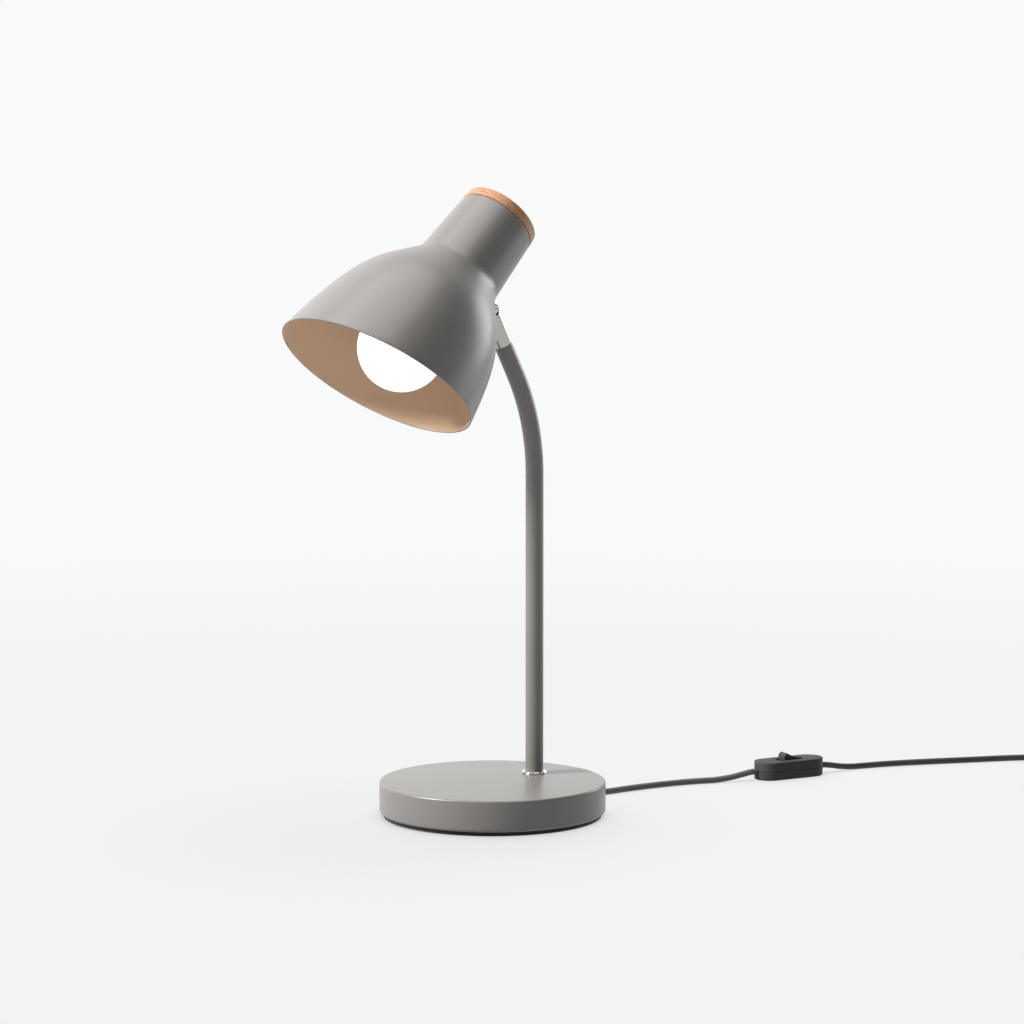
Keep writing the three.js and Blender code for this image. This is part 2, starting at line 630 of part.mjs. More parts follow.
function woodCap() {
  const top = neckTop + CAP_THICKNESS;
  const edge = NECK_TOP_RADIUS - 0.4;
  const disc = turned([
    [0, capFoot], [NECK_TOP_RADIUS, capFoot], [edge, top - CAP_FILLET],
    [edge - 0.3 * CAP_FILLET, top - 0.3 * CAP_FILLET], [edge - CAP_FILLET, top], [0, top],
  ], 40);
  const screwHoles = [-1, 1].map((side) =>
    bar('z', capScrewRadius + FIT, capFoot - 1, capFoot + 5, 12).translate(side * capScrewPlace, 0, 0));
  return onShadeAxis(cut(disc, bar('z', capNutRoom, 0, capFoot + capNutDepth), ...screwHoles));
}

/** A screw from under the neck's top up into the cap. */
function capScrew(side) {
  const face = neckTop - SHADE_WALL - FIT;
  return onShadeAxis(turned([
    [0, face - 1.7], [1.8, face - 1.7], [2.7, face - 1], [2.8, face], [capScrewRadius, face],
    [capScrewRadius, capFoot + 3.6], [0, capFoot + 4.6],
  ], 16).translate(side * capScrewPlace, 0, 0));
}

add(shade, 'shade_shell', shadeShell(), PAINT);
add(shade, 'shade_lug', shadeLug(), STEEL);
for (const [name, height] of rivetHeights) add(shade, `lug_rivet_${name}`, lugRivet(height), STEEL);
add(shade, 'wood_cap', woodCap(), WOOD);
add(shade, 'cap_screw_left', capScrew(-1), STEEL);
add(shade, 'cap_screw_right', capScrew(1), STEEL);

// ---- Lampholder, hung from the neck's top on a threaded tube ----
const contactTip = -GLOBE_DEPTH + BULB_LENGTH;
const screwCapTop = contactTip - 3;
const screwCapFoot = screwCapTop - SCREW_CAP_LENGTH;
const threadRadius = SCREW_CAP_RADIUS + 0.4;
const insertFoot = contactTip + 1.4;
const insertTop = insertFoot + 5;
const skirtFoot = screwCapFoot - 3.4;
const domeTop = insertTop + 12;
const domeRadius = HOLDER_RADIUS + 1;
const nippleTop = capFoot + capNutDepth - 0.6;
const lowerWasherTop = neckTop - SHADE_WALL - FIT;
const lowerNutTop = lowerWasherTop - LOCK_WASHER_THICKNESS - FIT;

const holderParts = {
  holder_nipple: [ring(3.3, NIPPLE_RADIUS, domeTop - 6, nippleTop, 20), STEEL],
  nipple_nut_upper: [nut(14, nippleHole, neckTop + FIT, neckTop + FIT + 3), STEEL],
  nipple_washer: [ring(nippleHole, 9, lowerWasherTop - LOCK_WASHER_THICKNESS, lowerWasherTop), STEEL],
  nipple_nut_lower: [nut(14, nippleHole, lowerNutTop - 3, lowerNutTop), STEEL],
  holder_dome: [turned([
    [nippleHole, domeTop - HOLDER_WALL], [nippleHole, domeTop], [9, domeTop],
    [domeRadius - 3.5, domeTop - 3], [domeRadius - 0.6, domeTop - 8], [domeRadius, insertFoot + 0.4],
    [domeRadius - HOLDER_WALL, insertFoot + 0.4], [domeRadius - HOLDER_WALL - 0.6, domeTop - 9],
    [domeRadius - 5.5, domeTop - 5.2], [9, domeTop - HOLDER_WALL],
  ], 28), BLACK_PLASTIC],
  holder_skirt: [turned([
    [HOLDER_RADIUS - HOLDER_WALL, skirtFoot], [HOLDER_RADIUS, skirtFoot],
    [HOLDER_RADIUS, insertFoot - 0.4], [HOLDER_RADIUS - HOLDER_WALL, insertFoot - 0.4],
  ], 28), BLACK_PLASTIC],
  holder_insert: [ring(0, HOLDER_RADIUS - HOLDER_WALL - 0.4, insertFoot, insertTop), WHITE_PLASTIC],
  holder_thread: [ring(threadRadius, threadRadius + 0.7, screwCapFoot + SEAT, insertFoot - 0.6, 28), BRASS],
};
for (const [name, [geometry, material]] of Object.entries(holderParts)) {
  add(shade, name, onShadeAxis(geometry), material);
}
add(shade, 'holder_contact',
  onShadeAxis(block([-5.5, -2, contactTip + 0.35], [5.5, 2, contactTip + 0.95])), BRASS);

/** The lead from the lug up the back of the neck and over into the lampholder. */
function shadeLead() {
  const wall = shadeAxis + neckRadius(6) - SHADE_WALL - 2 * SEAT - flangeThickness;
  const y = wall - armLeadRadius - 1.4;
  const into = shadeAxis + 10;
  const bow = (y - into) / 2;
  const points = [
    [0, y, 2], [0, y, 7], [0, y - 0.1 * bow, 12.5], [0, y - 0.5 * bow, 17.6], [0, y - bow, 19.4],
    [0, into + 0.5 * bow, 17.6], [0, into + 0.06 * bow, 13], [0, into, domeTop + SEAT],
  ].map((point) => new THREE.Vector3(...point));
  return tube(points, armLeadRadius, 0, 8, X_AXIS);
}

add(shade, 'shade_lead', shadeLead(), GREY_PLASTIC);

// ---- Bulb: globe, lighting board, collar and screw cap ----
const globeCut = Math.sqrt(GLOBE_RADIUS ** 2 - GLOBE_NECK ** 2);
const globeFoot = -GLOBE_DEPTH + GLOBE_NECK;

function bulbGlobe() {
  const outerEnd = Math.asin(GLOBE_NECK / GLOBE_RADIUS);
  const arc = (radius, endAngle, steps) => Array.from({ length: steps + 1 }, (_, i) => {
    const angle = -Math.PI / 2 + ((endAngle + Math.PI / 2) * i) / steps;
    return [i === 0 ? 0 : radius * Math.cos(angle), -GLOBE_DEPTH + radius * Math.sin(angle)];
  });
  const inner = GLOBE_RADIUS - GLOBE_WALL;
  const innerEnd = Math.asin(GLOBE_NECK / inner);
  return turned([...arc(GLOBE_RADIUS, outerEnd, 8), ...arc(inner, innerEnd, 6).reverse()], 28);
}

const bulbParts = {
  bulb_globe: [bulbGlobe(), OPAL],
  bulb_led_board: [ring(0, globeCut - GLOBE_WALL - 2, globeFoot - 2.4, globeFoot - 0.8, 28), WHITE_PLASTIC],
  bulb_collar: [turned([
    [0, globeFoot + SEAT], [globeCut - 0.2, globeFoot + SEAT], [globeCut - 1.2, globeFoot + 4.4],
    [SCREW_CAP_RADIUS + 2.6, screwCapFoot - 4.2], [SCREW_CAP_RADIUS + 0.4, screwCapFoot - SEAT],
    [SCREW_CAP_RADIUS - 1.1, screwCapFoot - SEAT], [SCREW_CAP_RADIUS - 1.1, screwCapFoot + 5],
    [0, screwCapFoot + 5],
  ], 28), WHITE_PLASTIC],
  bulb_screw_cap: [turned([
    [SCREW_CAP_RADIUS - 0.7, screwCapFoot], [SCREW_CAP_RADIUS, screwCapFoot],
    [SCREW_CAP_RADIUS, screwCapTop - 1.6], [SCREW_CAP_RADIUS - 1.6, screwCapTop],
    [SCREW_CAP_RADIUS - 2.6, screwCapTop], [SCREW_CAP_RADIUS - 0.7, screwCapTop - 2.2],
  ], 28), NICKEL],
  bulb_insulator: [turned([
    [0, screwCapTop - 1.2], [9.8, screwCapTop - 1.2], [9.8, screwCapTop + 0.2],
    [5.2, contactTip - 1.1], [0, contactTip - 1.1],
  ], 24), BLACK_PLASTIC],
  bulb_contact: [turned([
    [0, contactTip - 0.9], [4.4, contactTip - 0.9], [4.1, contactTip - 0.3], [2.4, contactTip],
    [0, contactTip],
  ], 20), BRASS],
};
for (const [name, [geometry, material]] of Object.entries(bulbParts)) {
  add(shade, name, onShadeAxis(geometry), material);
}

// ---- In-line switch: tray, cover, rocker, axle, contacts and screws ----
// In this group the lead runs along X, with the base's end at -X, and Z = 0 is the surface it lies on.
const inlineSwitch = new THREE.Group();
inlineSwitch.position.set(SWITCH_PLACE.x, SWITCH_PLACE.y, 0);
inlineSwitch.rotation.z = SWITCH_TURN;
lamp.add(inlineSwitch);

const switchEnd = SWITCH_WIDTH / 2;
const switchStraight = SWITCH_LENGTH / 2 - switchEnd;
const axleRadius = 1.2;
const rockerRoom = ROCKER_WIDTH / 2 + 0.4;
const switchScrewPlace = 16.5;

/** A round-ended slab about the Z axis between two heights, inset from the switch's outline. */
function slab(inset, low, high, bevel = 0) {
  const radius = switchEnd - inset - bevel;
  const outline = new THREE.Shape();
  outline.absarc(switchStraight, 0, radius, -Math.PI / 2, Math.PI / 2);
  outline.absarc(-switchStraight, 0, radius, Math.PI / 2, 1.5 * Math.PI);
  outline.closePath();
  const options = {
    depth: high - low - 2 * bevel, curveSegments: 6, bevelEnabled: bevel > 0,
    bevelThickness: bevel, bevelSize: bevel, bevelSegments: 1,
  };
  return new THREE.ExtrudeGeometry(outline, options).translate(0, 0, low + bevel);
}

/** Openings in both ends for the lead. */
const leadHoles = () => bar('x', CORD_RADIUS + 2 * FIT, -SWITCH_LENGTH, SWITCH_LENGTH, 16)
  .translate(0, 0, SWITCH_PARTING);

const switchScrewHole = (side, radius, low, high) =>
  bar('z', radius, low, high, 16).translate(side * switchScrewPlace, 0, 0);

function switchTray() {
  return cut(
    slab(0, 0, SWITCH_PARTING - 0.1),
    slab(SWITCH_WALL, SWITCH_WALL, SWITCH_PARTING + 1),
    leadHoles(),
    ...[-1, 1].flatMap((side) => [
      switchScrewHole(side, 1.5, -1, SWITCH_WALL + 1),
      switchScrewHole(side, 2.9, -1, 0.9),
    ]),
  );
}

function switchCover() {
  const opening = block(
    [-ROCKER_HALF_LENGTH - 1.4, -rockerRoom, SWITCH_PARTING],
    [ROCKER_HALF_LENGTH + 1.4, rockerRoom, SWITCH_HEIGHT + 1],
  );
  const shell = cut(
    common(slab(0, 0, SWITCH_HEIGHT, 0.6), block([-40, -20, SWITCH_PARTING + 0.1], [40, 20, 20])),
    slab(SWITCH_WALL, SWITCH_PARTING - 1, SWITCH_HEIGHT - SWITCH_WALL),
  );
  const cheeks = [-1, 1].map((side) => block(
    [-3, Math.min(side * rockerRoom, side * (rockerRoom + 1.6)), ROCKER_AXIS_HEIGHT - 2.6],
    [3, Math.max(side * rockerRoom, side * (rockerRoom + 1.6)), SWITCH_HEIGHT - 0.8],
  ));
  const posts = [-1, 1].map((side) =>
    switchScrewHole(side, 2.6, SWITCH_PARTING + 2.6, SWITCH_HEIGHT - 0.8));
  const body = cut(join(shell, ...cheeks, ...posts), opening, leadHoles());
  const axleHole = bar('y', axleRadius + 0.1, -rockerRoom - 1, rockerRoom + 1, 16)
    .translate(0, 0, ROCKER_AXIS_HEIGHT);
  const screwRoom = [-1, 1].map((side) => switchScrewHole(side, 1.3, 0, SWITCH_HEIGHT - 2.4));
  return cut(body, axleHole, ...screwRoom);
}

/** The rocker, pressed down at the plug's end, about its own axis. */
function switchRocker() {
  const outline = new THREE.Shape();
  const end = ROCKER_HALF_LENGTH;
  outline.moveTo(1.4 - end, 6.9);
  outline.quadraticCurveTo(0, 5.3, end - 1.4, 6.9);
  outline.lineTo(end - 0.2, 4.4);
  outline.lineTo(end - 1.2, 1.4);
  outline.lineTo(3, -2.2);
  outline.lineTo(-3, -2.2);
  outline.lineTo(1.2 - end, 1.4);
  outline.lineTo(0.2 - end, 4.4);
  outline.closePath();
  const shape = new THREE.ExtrudeGeometry(outline, {
    depth: ROCKER_WIDTH, curveSegments: 6, bevelEnabled: false,
  });
  shape.translate(0, 0, -ROCKER_WIDTH / 2).rotateX(Math.PI / 2);
  const bored = cut(shape, bar('y', axleRadius + 0.1, -ROCKER_WIDTH, ROCKER_WIDTH, 16));
  return bored.rotateY(ROCKER_HALF_TRAVEL).translate(0, 0, ROCKER_AXIS_HEIGHT);
}

/** A spring strip that the rocker's underside bears on. */
const switchContact = (side) => join(
  block([Math.min(side * 4, side * 13), -2.2, 2], [Math.max(side * 4, side * 13), 2.2, 2.5]),
  block([Math.min(side * 4, side * 4.6), -2.2, 2.2], [Math.max(side * 4, side * 4.6), 2.2, 4.6]),
);

/** A flat-headed screw from below. */
const switchScrew = (side) => turned([
  [0, 0.2], [2.5, 0.2], [2.5, 0.7], [1.1, 0.7], [1.1, SWITCH_HEIGHT - 3.2], [0, SWITCH_HEIGHT - 2.8],
], 14).translate(side * switchScrewPlace, 0, 0);

const axleHalf = rockerRoom + 0.9;
add(inlineSwitch, 'switch_tray', switchTray(), BLACK_PLASTIC);
add(inlineSwitch, 'switch_cover', switchCover(), BLACK_PLASTIC);
add(inlineSwitch, 'switch_rocker', switchRocker(), BLACK_PLASTIC);
add(inlineSwitch, 'rocker_axle',
  bar('y', axleRadius, -axleHalf, axleHalf, 16).translate(0, 0, ROCKER_AXIS_HEIGHT), STEEL);
add(inlineSwitch, 'switch_contact_in', switchContact(-1), BRASS);
add(inlineSwitch, 'switch_contact_out', switchContact(1), BRASS);
add(inlineSwitch, 'switch_screw_in', switchScrew(-1), STEEL);
add(inlineSwitch, 'switch_screw_out', switchScrew(1), STEEL);

// ---- Lead: tubes, coil, tie and plug ----
const cordTube = (route, step) =>
  tube(smoothStations(route, step), CORD_RADIUS, 0, 10, Z_AXIS);

const coilGroup = new THREE.Group();
coilGroup.position.set(COIL_CENTRE.x, COIL_CENTRE.y, 0);
coilGroup.rotation.z = TIE_ANGLE;
lamp.add(coilGroup);

/** A block around the coil's turns where the tie sits, grown by a margin, from a given height up. */
const tieBlock = (margin, length, low) => block(
  [COIL_INNER - margin, -length / 2, low],
  [COIL_OUTER + margin, length / 2, COIL_HEIGHT + margin],
);

function cordCoil() {
  const corner = 1.6;
  const turns = turned([
    [COIL_INNER + corner, 0], [COIL_OUTER - corner, 0], [COIL_OUTER, corner],
    [COIL_OUTER, COIL_HEIGHT - corner], [COIL_OUTER - corner, COIL_HEIGHT],
    [COIL_INNER + corner, COIL_HEIGHT], [COIL_INNER, COIL_HEIGHT - corner], [COIL_INNER, corner],
  ], 30);
  const waist = block(
    [COIL_INNER, -TIE_WIDTH, TIE_THICKNESS + SEAT], [COIL_OUTER, TIE_WIDTH, COIL_HEIGHT + 1],
  );
  const underTie = cut(tieBlock(1, TIE_WIDTH + 2 * SEAT, -1), waist);
  return cut(turns, underTie);
}

function cordTie() {
  const outer = tieBlock(SEAT + TIE_THICKNESS, TIE_WIDTH, 0);
  const inner = block(
    [COIL_INNER - SEAT, -TIE_WIDTH, TIE_THICKNESS],
    [COIL_OUTER + SEAT, TIE_WIDTH, COIL_HEIGHT + SEAT],
  );
  return cut(outer, inner);
}

const plug = new THREE.Group();
plug.position.set(PLUG_PLACE.x, PLUG_PLACE.y, PLUG_THICKNESS / 2);
plug.rotation.z = PLUG_TURN;
lamp.add(plug);

/** The plug's moulded body with its strain relief, the pins' face at +X. */
function plugBody() {
  const outline = new THREE.Shape();
  const [back, half] = [6, PLUG_WIDTH / 2];
  outline.moveTo(0, back);
  outline.quadraticCurveTo(0.35 * PLUG_LENGTH, back + 1, 0.62 * PLUG_LENGTH, half - 3.5);
  outline.lineTo(PLUG_LENGTH - 4, half - 1);
  outline.lineTo(PLUG_LENGTH, half - 2.5);
  outline.lineTo(PLUG_LENGTH, 2.5 - half);
  outline.lineTo(PLUG_LENGTH - 4, 1 - half);
  outline.lineTo(0.62 * PLUG_LENGTH, 3.5 - half);
  outline.quadraticCurveTo(0.35 * PLUG_LENGTH, -back - 1, 0, -back);
  outline.closePath();
  const bevel = 1;
  const body = new THREE.ExtrudeGeometry(outline, {
    depth: PLUG_THICKNESS - 2 * bevel, curveSegments: 5, bevelEnabled: true, bevelThickness: bevel,
    bevelSize: bevel, bevelOffset: -bevel, bevelSegments: 1,
  }).translate(0, 0, bevel - PLUG_THICKNESS / 2);
  const boot = turned([
    [0, -BOOT_LENGTH], [CORD_RADIUS + 0.7, -BOOT_LENGTH], [CORD_RADIUS + 2.6, 1], [0, 1],
  ], 16).rotateY(Math.PI / 2);
  const pinHoles = [-1, 1].map((side) =>
    bar('x', PIN_RADIUS + FIT, PLUG_LENGTH - PIN_SEAT - SEAT, PLUG_LENGTH + 4, 16)
      .translate(0, (side * PIN_SPACING) / 2, 0));
  return cut(join(body, boot), ...pinHoles);
}

/** A round pin with a rounded tip. */
const plugPin = (side) => turned([
  [0, PLUG_LENGTH - PIN_SEAT], [PIN_RADIUS, PLUG_LENGTH - PIN_SEAT],
  [PIN_RADIUS, PLUG_LENGTH + PIN_LENGTH - 1.4], [0.6 * PIN_RADIUS, PLUG_LENGTH + PIN_LENGTH - 0.3],
  [0, PLUG_LENGTH + PIN_LENGTH],
], 14).rotateY(Math.PI / 2).translate(0, (side * PIN_SPACING) / 2, 0);

add(lamp, 'cord_grey', cordTube(GREY_ROUTE, 10), GREY_PLASTIC);
add(lamp, 'cord_black', cordTube(BLACK_ROUTE, 10), BLACK_PLASTIC);
add(coilGroup, 'cord_coil', cordCoil(), BLACK_PLASTIC);
add(coilGroup, 'cord_tie', cordTie(), BLACK_PLASTIC);
add(lamp, 'cord_tail', cordTube(TAIL_ROUTE, 4), BLACK_PLASTIC);
add(plug, 'plug_body', plugBody(), BLACK_PLASTIC);
add(plug, 'plug_pin_left', plugPin(-1), NICKEL);
add(plug, 'plug_pin_right', plugPin(1), NICKEL);

export default lamp;
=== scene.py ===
"""Table lamp with a bent arm, a tilting metal shade, a glowing bulb and a mains lead with a switch.

Metres, +Z up. The origin is the centre of the base's underside. The shade reaches out to the front,
which is -Y, and the lead leaves the base at the back. Each sub-assembly is a class: build makes its
meshes, dress gives the rest of its solids their finishes.
"""
import json
import logging
import math
from collections.abc import Iterable, Sequence
from dataclasses import dataclass
from enum import Enum
from typing import Any

import bmesh
import bpy
from mathutils import Matrix, Vector


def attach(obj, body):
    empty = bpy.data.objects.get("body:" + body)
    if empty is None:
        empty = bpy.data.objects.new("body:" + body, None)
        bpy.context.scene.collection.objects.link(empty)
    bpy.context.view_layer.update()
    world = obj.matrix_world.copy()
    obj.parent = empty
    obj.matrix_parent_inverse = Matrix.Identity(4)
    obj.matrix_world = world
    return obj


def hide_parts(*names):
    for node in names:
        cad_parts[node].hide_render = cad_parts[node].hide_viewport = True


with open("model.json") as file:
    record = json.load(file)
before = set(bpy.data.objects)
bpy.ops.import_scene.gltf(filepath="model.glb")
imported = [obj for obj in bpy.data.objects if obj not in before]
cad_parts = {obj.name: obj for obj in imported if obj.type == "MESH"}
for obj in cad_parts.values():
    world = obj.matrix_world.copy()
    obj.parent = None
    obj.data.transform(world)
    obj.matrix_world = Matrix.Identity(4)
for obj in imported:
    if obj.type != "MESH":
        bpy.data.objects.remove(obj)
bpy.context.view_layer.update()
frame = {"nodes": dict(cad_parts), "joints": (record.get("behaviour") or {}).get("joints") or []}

LOG = logging.getLogger("lamp")

Profile = list[tuple[float, float]]
Colour = tuple[float, float, float]


# ---- Places taken from the frame ----


def joint(name: str) -> dict[str, Any]:
    """The frame's joint of that name."""
    return next(entry for entry in frame["joints"] if entry["name"] == name)


PIVOT = Vector(joint("shade_tilt")["pos_m"])
MOUTH = Vector(joint("bulb_turn")["axis"])
SHADE_TILT = math.atan2(-MOUTH.y, -MOUTH.z)


class Body(Enum):
    """The rigid bodies that pieces ride on."""

    BASE = "base"
    SHADE = "shade"
    BULB = "bulb"
    ROCKER = "rocker"


# ---- Shader maths ----


class Wire:
    """A shader socket that takes part in Python expressions; each operation adds a Math node."""

    def __init__(self, graph: "Graph", socket: bpy.types.NodeSocket) -> None:
        """Wraps a socket of a graph."""
        self.graph = graph
        self.socket = socket

    def _math(self, operation: str, *values: Any) -> "Wire":
        """One Math node on these values."""
        return self.graph.node("ShaderNodeMath", {"operation": operation}, dict(enumerate(values)))

    def __add__(self, other: Any) -> "Wire":
        """self + other."""
        return self._math("ADD", self, other)

    def __radd__(self, other: Any) -> "Wire":
        """other + self."""
        return self._math("ADD", other, self)

    def __sub__(self, other: Any) -> "Wire":
        """self - other."""
        return self._math("SUBTRACT", self, other)

    def __rsub__(self, other: Any) -> "Wire":
        """other - self."""
        return self._math("SUBTRACT", other, self)

    def __mul__(self, other: Any) -> "Wire":
        """self * other."""
        return self._math("MULTIPLY", self, other)

    def __rmul__(self, other: Any) -> "Wire":
        """other * self."""
        return self._math("MULTIPLY", other, self)

    def between(self, low: float, high: float) -> "Wire":
        """0 at low, 1 at high and a soft step between them."""
        settings = {"interpolation_type": "SMOOTHSTEP"}
        return self.graph.node("ShaderNodeMapRange", settings, {0: self, 1: low, 2: high})


class Graph:
    """A node tree, with one method that adds any node to it."""

    def __init__(self, owner: bpy.types.Material | bpy.types.World) -> None:
        """Empties the node tree of a material or a world, ready to be filled.

        Args:
            owner: the material or world.
        """
        owner.use_nodes = True
        self.tree = owner.node_tree
        self.tree.nodes.clear()

    def node(self, kind: str, settings: dict[str, Any] | None = None,
             inputs: dict[Any, Any] | None = None, output: int | str = 0) -> Wire:
        """Adds a node.

        Args:
            kind: the node's type.
            settings: properties set before its inputs.
            inputs: values or wires, by input name or number.
            output: which of its outputs is wanted.

        Returns:
            The wanted output.
        """
        made = self.tree.nodes.new(kind)
        for key, value in (settings or {}).items():
            setattr(made, key, value)
        for key, value in (inputs or {}).items():
            if isinstance(value, Wire):
                self.tree.links.new(value.socket, made.inputs[key])
            else:
                made.inputs[key].default_value = value
        return Wire(self, made.outputs[output])

    def surface(self, shader: Wire, output: str = "ShaderNodeOutputMaterial") -> None:
        """Joins the last shader to a new output node of a material or, by its type, of a world."""
        end = self.tree.nodes.new(output)
        self.tree.links.new(shader.socket, end.inputs["Surface"])

    def place(self, turn: tuple[float, float, float] = (0, 0, 0),
              stretch: tuple[float, float, float] = (1, 1, 1),
              move: tuple[float, float, float] = (0, 0, 0)) -> Wire:
        """The piece's own coordinates, stretched, turned and moved.

        Args:
            turn: rotation in radians.
            stretch: scale along each axis.
            move: shift, added last.

        Returns:
            The coordinates.
        """
        own = self.node("ShaderNodeTexCoord", output="Object")
        return self.node("ShaderNodeMapping", inputs={
            "Vector": own, "Rotation": turn, "Scale": stretch, "Location": move})

    def noise(self, where: Wire, scale: float, detail: float = 2.0, roughness: float = 0.5) -> Wire:
        """Smooth noise, about 0 to 1.

        Args:
            where: the coordinates.
            scale: features per metre.
            detail: octaves.
            roughness: how strong the finer octaves are.

        Returns:
            The noise's value.
        """
        return self.node("ShaderNodeTexNoise", inputs={
            "Vector": where, "Scale": scale, "Detail": detail, "Roughness": roughness})

    def mixed(self, amount: Any, first: Any, second: Any) -> Wire:
        """A colour between two colours.

        Args:
            amount: 0 for the first, 1 for the second.
            first: a colour or a wire.
            second: a colour or a wire.

        Returns:
            The colour.
        """
        first, second = ((*c, 1.0) if isinstance(c, tuple) else c for c in (first, second))
        settings = {"data_type": "RGBA"}
        return self.node("ShaderNodeMix", settings, {0: amount, 6: first, 7: second}, output=2)

    def bumps(self, height: Wire, depth: float, strength: float = 1.0) -> Wire:
        """A normal that shows a height.

        Args:
            height: 0 at the bottom, 1 at the top.
            depth: the height's size in metres.
            strength: how much of it shows.

        Returns:
            The normal.
        """
        return self.node("ShaderNodeBump", inputs={
            "Height": height, "Distance": depth, "Strength": strength})


def shade_of(colour: Colour, amount: float) -> Colour:
    """A colour made darker, below 1, or lighter, above 1."""
    return tuple(min(1.0, channel * amount) for channel in colour)


# ---- Finishes ----


@dataclass(frozen=True)
class Finish:
    """A finish with one colour and gloss; each kind adds its own grain."""

    name: str
    colour: Colour
    roughness: float
    metallic: float = 0.0
    coat: float = 0.0
    specular: float = 0.5

    def grain(self, graph: Graph) -> dict[str, Wire]:
        """The shader inputs that vary over the surface; a plain finish has a faint mottle."""
        mottle = graph.noise(graph.place(), 90.0, 4.0)
        return {
            "Base Color": graph.mixed(mottle, shade_of(self.colour, 0.94), shade_of(self.colour, 1.06)),
            "Roughness": self.roughness + (mottle - 0.5) * 0.08,
        }

    def material(self) -> bpy.types.Material:
        """The finish as a material, made once and then shared.

        Returns:
            The material.
        """
        known = bpy.data.materials.get(self.name)
        if known:
            return known
        made = bpy.data.materials.new(self.name)
        graph = Graph(made)
        constants = {
            "Metallic": self.metallic, "Coat Weight": self.coat, "Coat Roughness": 0.15,
            "Specular IOR Level": self.specular,
        }
        shader = graph.node("ShaderNodeBsdfPrincipled", inputs={**constants, **self.grain(graph)})
        graph.surface(shader)
        return made


@dataclass(frozen=True)
class PowderCoat(Finish):
    """Satin powder coat: fine orange peel, tiny darker specks and a slow drift in tone."""

    peel: float = 0.00002

    def grain(self, graph: Graph) -> dict[str, Wire]:
        """Orange peel, specks and drift."""
        where = graph.place()
        drift = graph.noise(where, 14.0, 2.0)
        specks = graph.noise(where, 2600.0, 1.0).between(0.36, 0.5)
        peel = graph.noise(where, 900.0, 2.0)
        tone = graph.mixed(drift, shade_of(self.colour, 0.96), shade_of(self.colour, 1.04))
        return {
            "Base Color": graph.mixed(specks, shade_of(self.colour, 0.93), tone),
            "Roughness": self.roughness + (peel - 0.5) * 0.06 + (drift - 0.5) * 0.04,
            "Normal": graph.bumps(peel, self.peel, 0.5),
        }


@dataclass(frozen=True)
class TurnedMetal(Finish):
    """Plated or bare metal with faint marks left by turning and handling."""

    along: tuple[float, float, float] = (1, 1, 30)
    marks: float = 0.12

    def grain(self, graph: Graph) -> dict[str, Wire]:
        """Fine lines across the stretched direction, and smears in the gloss."""
        lines = graph.noise(graph.place(stretch=self.along), 260.0, 3.0, 0.6)
        smears = graph.noise(graph.place(), 120.0, 3.0)
        return {
            "Base Color": graph.mixed(smears, shade_of(self.colour, 0.95), shade_of(self.colour, 1.04)),
            "Roughness": self.roughness + (lines - 0.5) * self.marks + (smears - 0.5) * 0.08,
            "Normal": graph.bumps(lines, 0.000008, 0.35),
        }


@dataclass(frozen=True)
class Moulded(Finish):
    """Moulded plastic or rubber with a fine spark-eroded grain."""

    pitch: float = 1400.0
    depth: float = 0.00003

    def grain(self, graph: Graph) -> dict[str, Wire]:
        """Fine pebbled grain, with rubbed patches that are a little glossier."""
        where = graph.place()
        pebble = graph.noise(where, self.pitch, 2.0)
        rubbed = graph.noise(where, 60.0, 3.0)
        return {
            "Base Color": graph.mixed(rubbed, shade_of(self.colour, 0.85), shade_of(self.colour, 1.15)),
            "Roughness": self.roughness + (rubbed - 0.5) * 0.12 + (pebble - 0.5) * 0.06,
            "Normal": graph.bumps(pebble, self.depth, 0.6),
        }


@dataclass(frozen=True)
class CastIron(Finish):
    """Rough sand-cast iron under a thin dark primer."""

    def grain(self, graph: Graph) -> dict[str, Wire]:
        """Coarse sand texture with rusty hollows."""
        where = graph.place()
        sand = graph.noise(where, 420.0, 5.0, 0.65)
        rust = graph.noise(where, 35.0, 4.0).between(0.55, 0.75)
        return {
            "Base Color": graph.mixed(rust, self.colour, (0.12, 0.055, 0.03)),
            "Roughness": self.roughness + (sand - 0.5) * 0.25,
            "Normal": graph.bumps(sand, 0.00025, 0.8),
        }


@dataclass(frozen=True)
class TurnedWood(Finish):
    """Oiled wood: fibres along the shade's X axis, growth bands, and short dark pores."""

    light: Colour = (0.34, 0.18, 0.088)
    pore: Colour = (0.12, 0.04, 0.012)

    def grain(self, graph: Graph) -> dict[str, Wire]:
        """Growth bands, fibres and pores, all running through the block."""
        lean = (SHADE_TILT, 0.0, 0.35)
        bands = graph.noise(graph.place(lean, (14, 150, 150)), 1.0, 3.0).between(0.3, 0.7)
        fibres = graph.noise(graph.place(lean, (120, 900, 900)), 1.0, 4.0, 0.6)
        pores = graph.noise(graph.place(lean, (200, 1000, 1000), (3, 1, 2)), 1.0, 2.0)
        tone = graph.mixed(bands * 0.6 + fibres.between(0.3, 0.7) * 0.45, self.colour, self.light)
        open_pore = pores.between(0.46, 0.36)
        return {
            "Base Color": graph.mixed(open_pore * 0.75, tone, self.pore),
            "Roughness": self.roughness + (fibres - 0.5) * 0.2,
            "Normal": graph.bumps(fibres - open_pore * 0.6, 0.00006, 0.5),
        }


@dataclass(frozen=True)
class Sheath(Finish):
    """The lead's soft sheath: drawn lines along it and a slow drift in gloss."""

    def grain(self, graph: Graph) -> dict[str, Wire]:
        """Faint waviness and dust in the gloss."""
        where = graph.place()
        wave = graph.noise(where, 220.0, 2.0)
        dust = graph.noise(where, 1500.0, 2.0)
        return {
            "Base Color": graph.mixed(dust, shade_of(self.colour, 0.88), shade_of(self.colour, 1.12)),
            "Roughness": self.roughness + (wave - 0.5) * 0.12,
            "Normal": graph.bumps(wave, 0.00004, 0.4),
        }


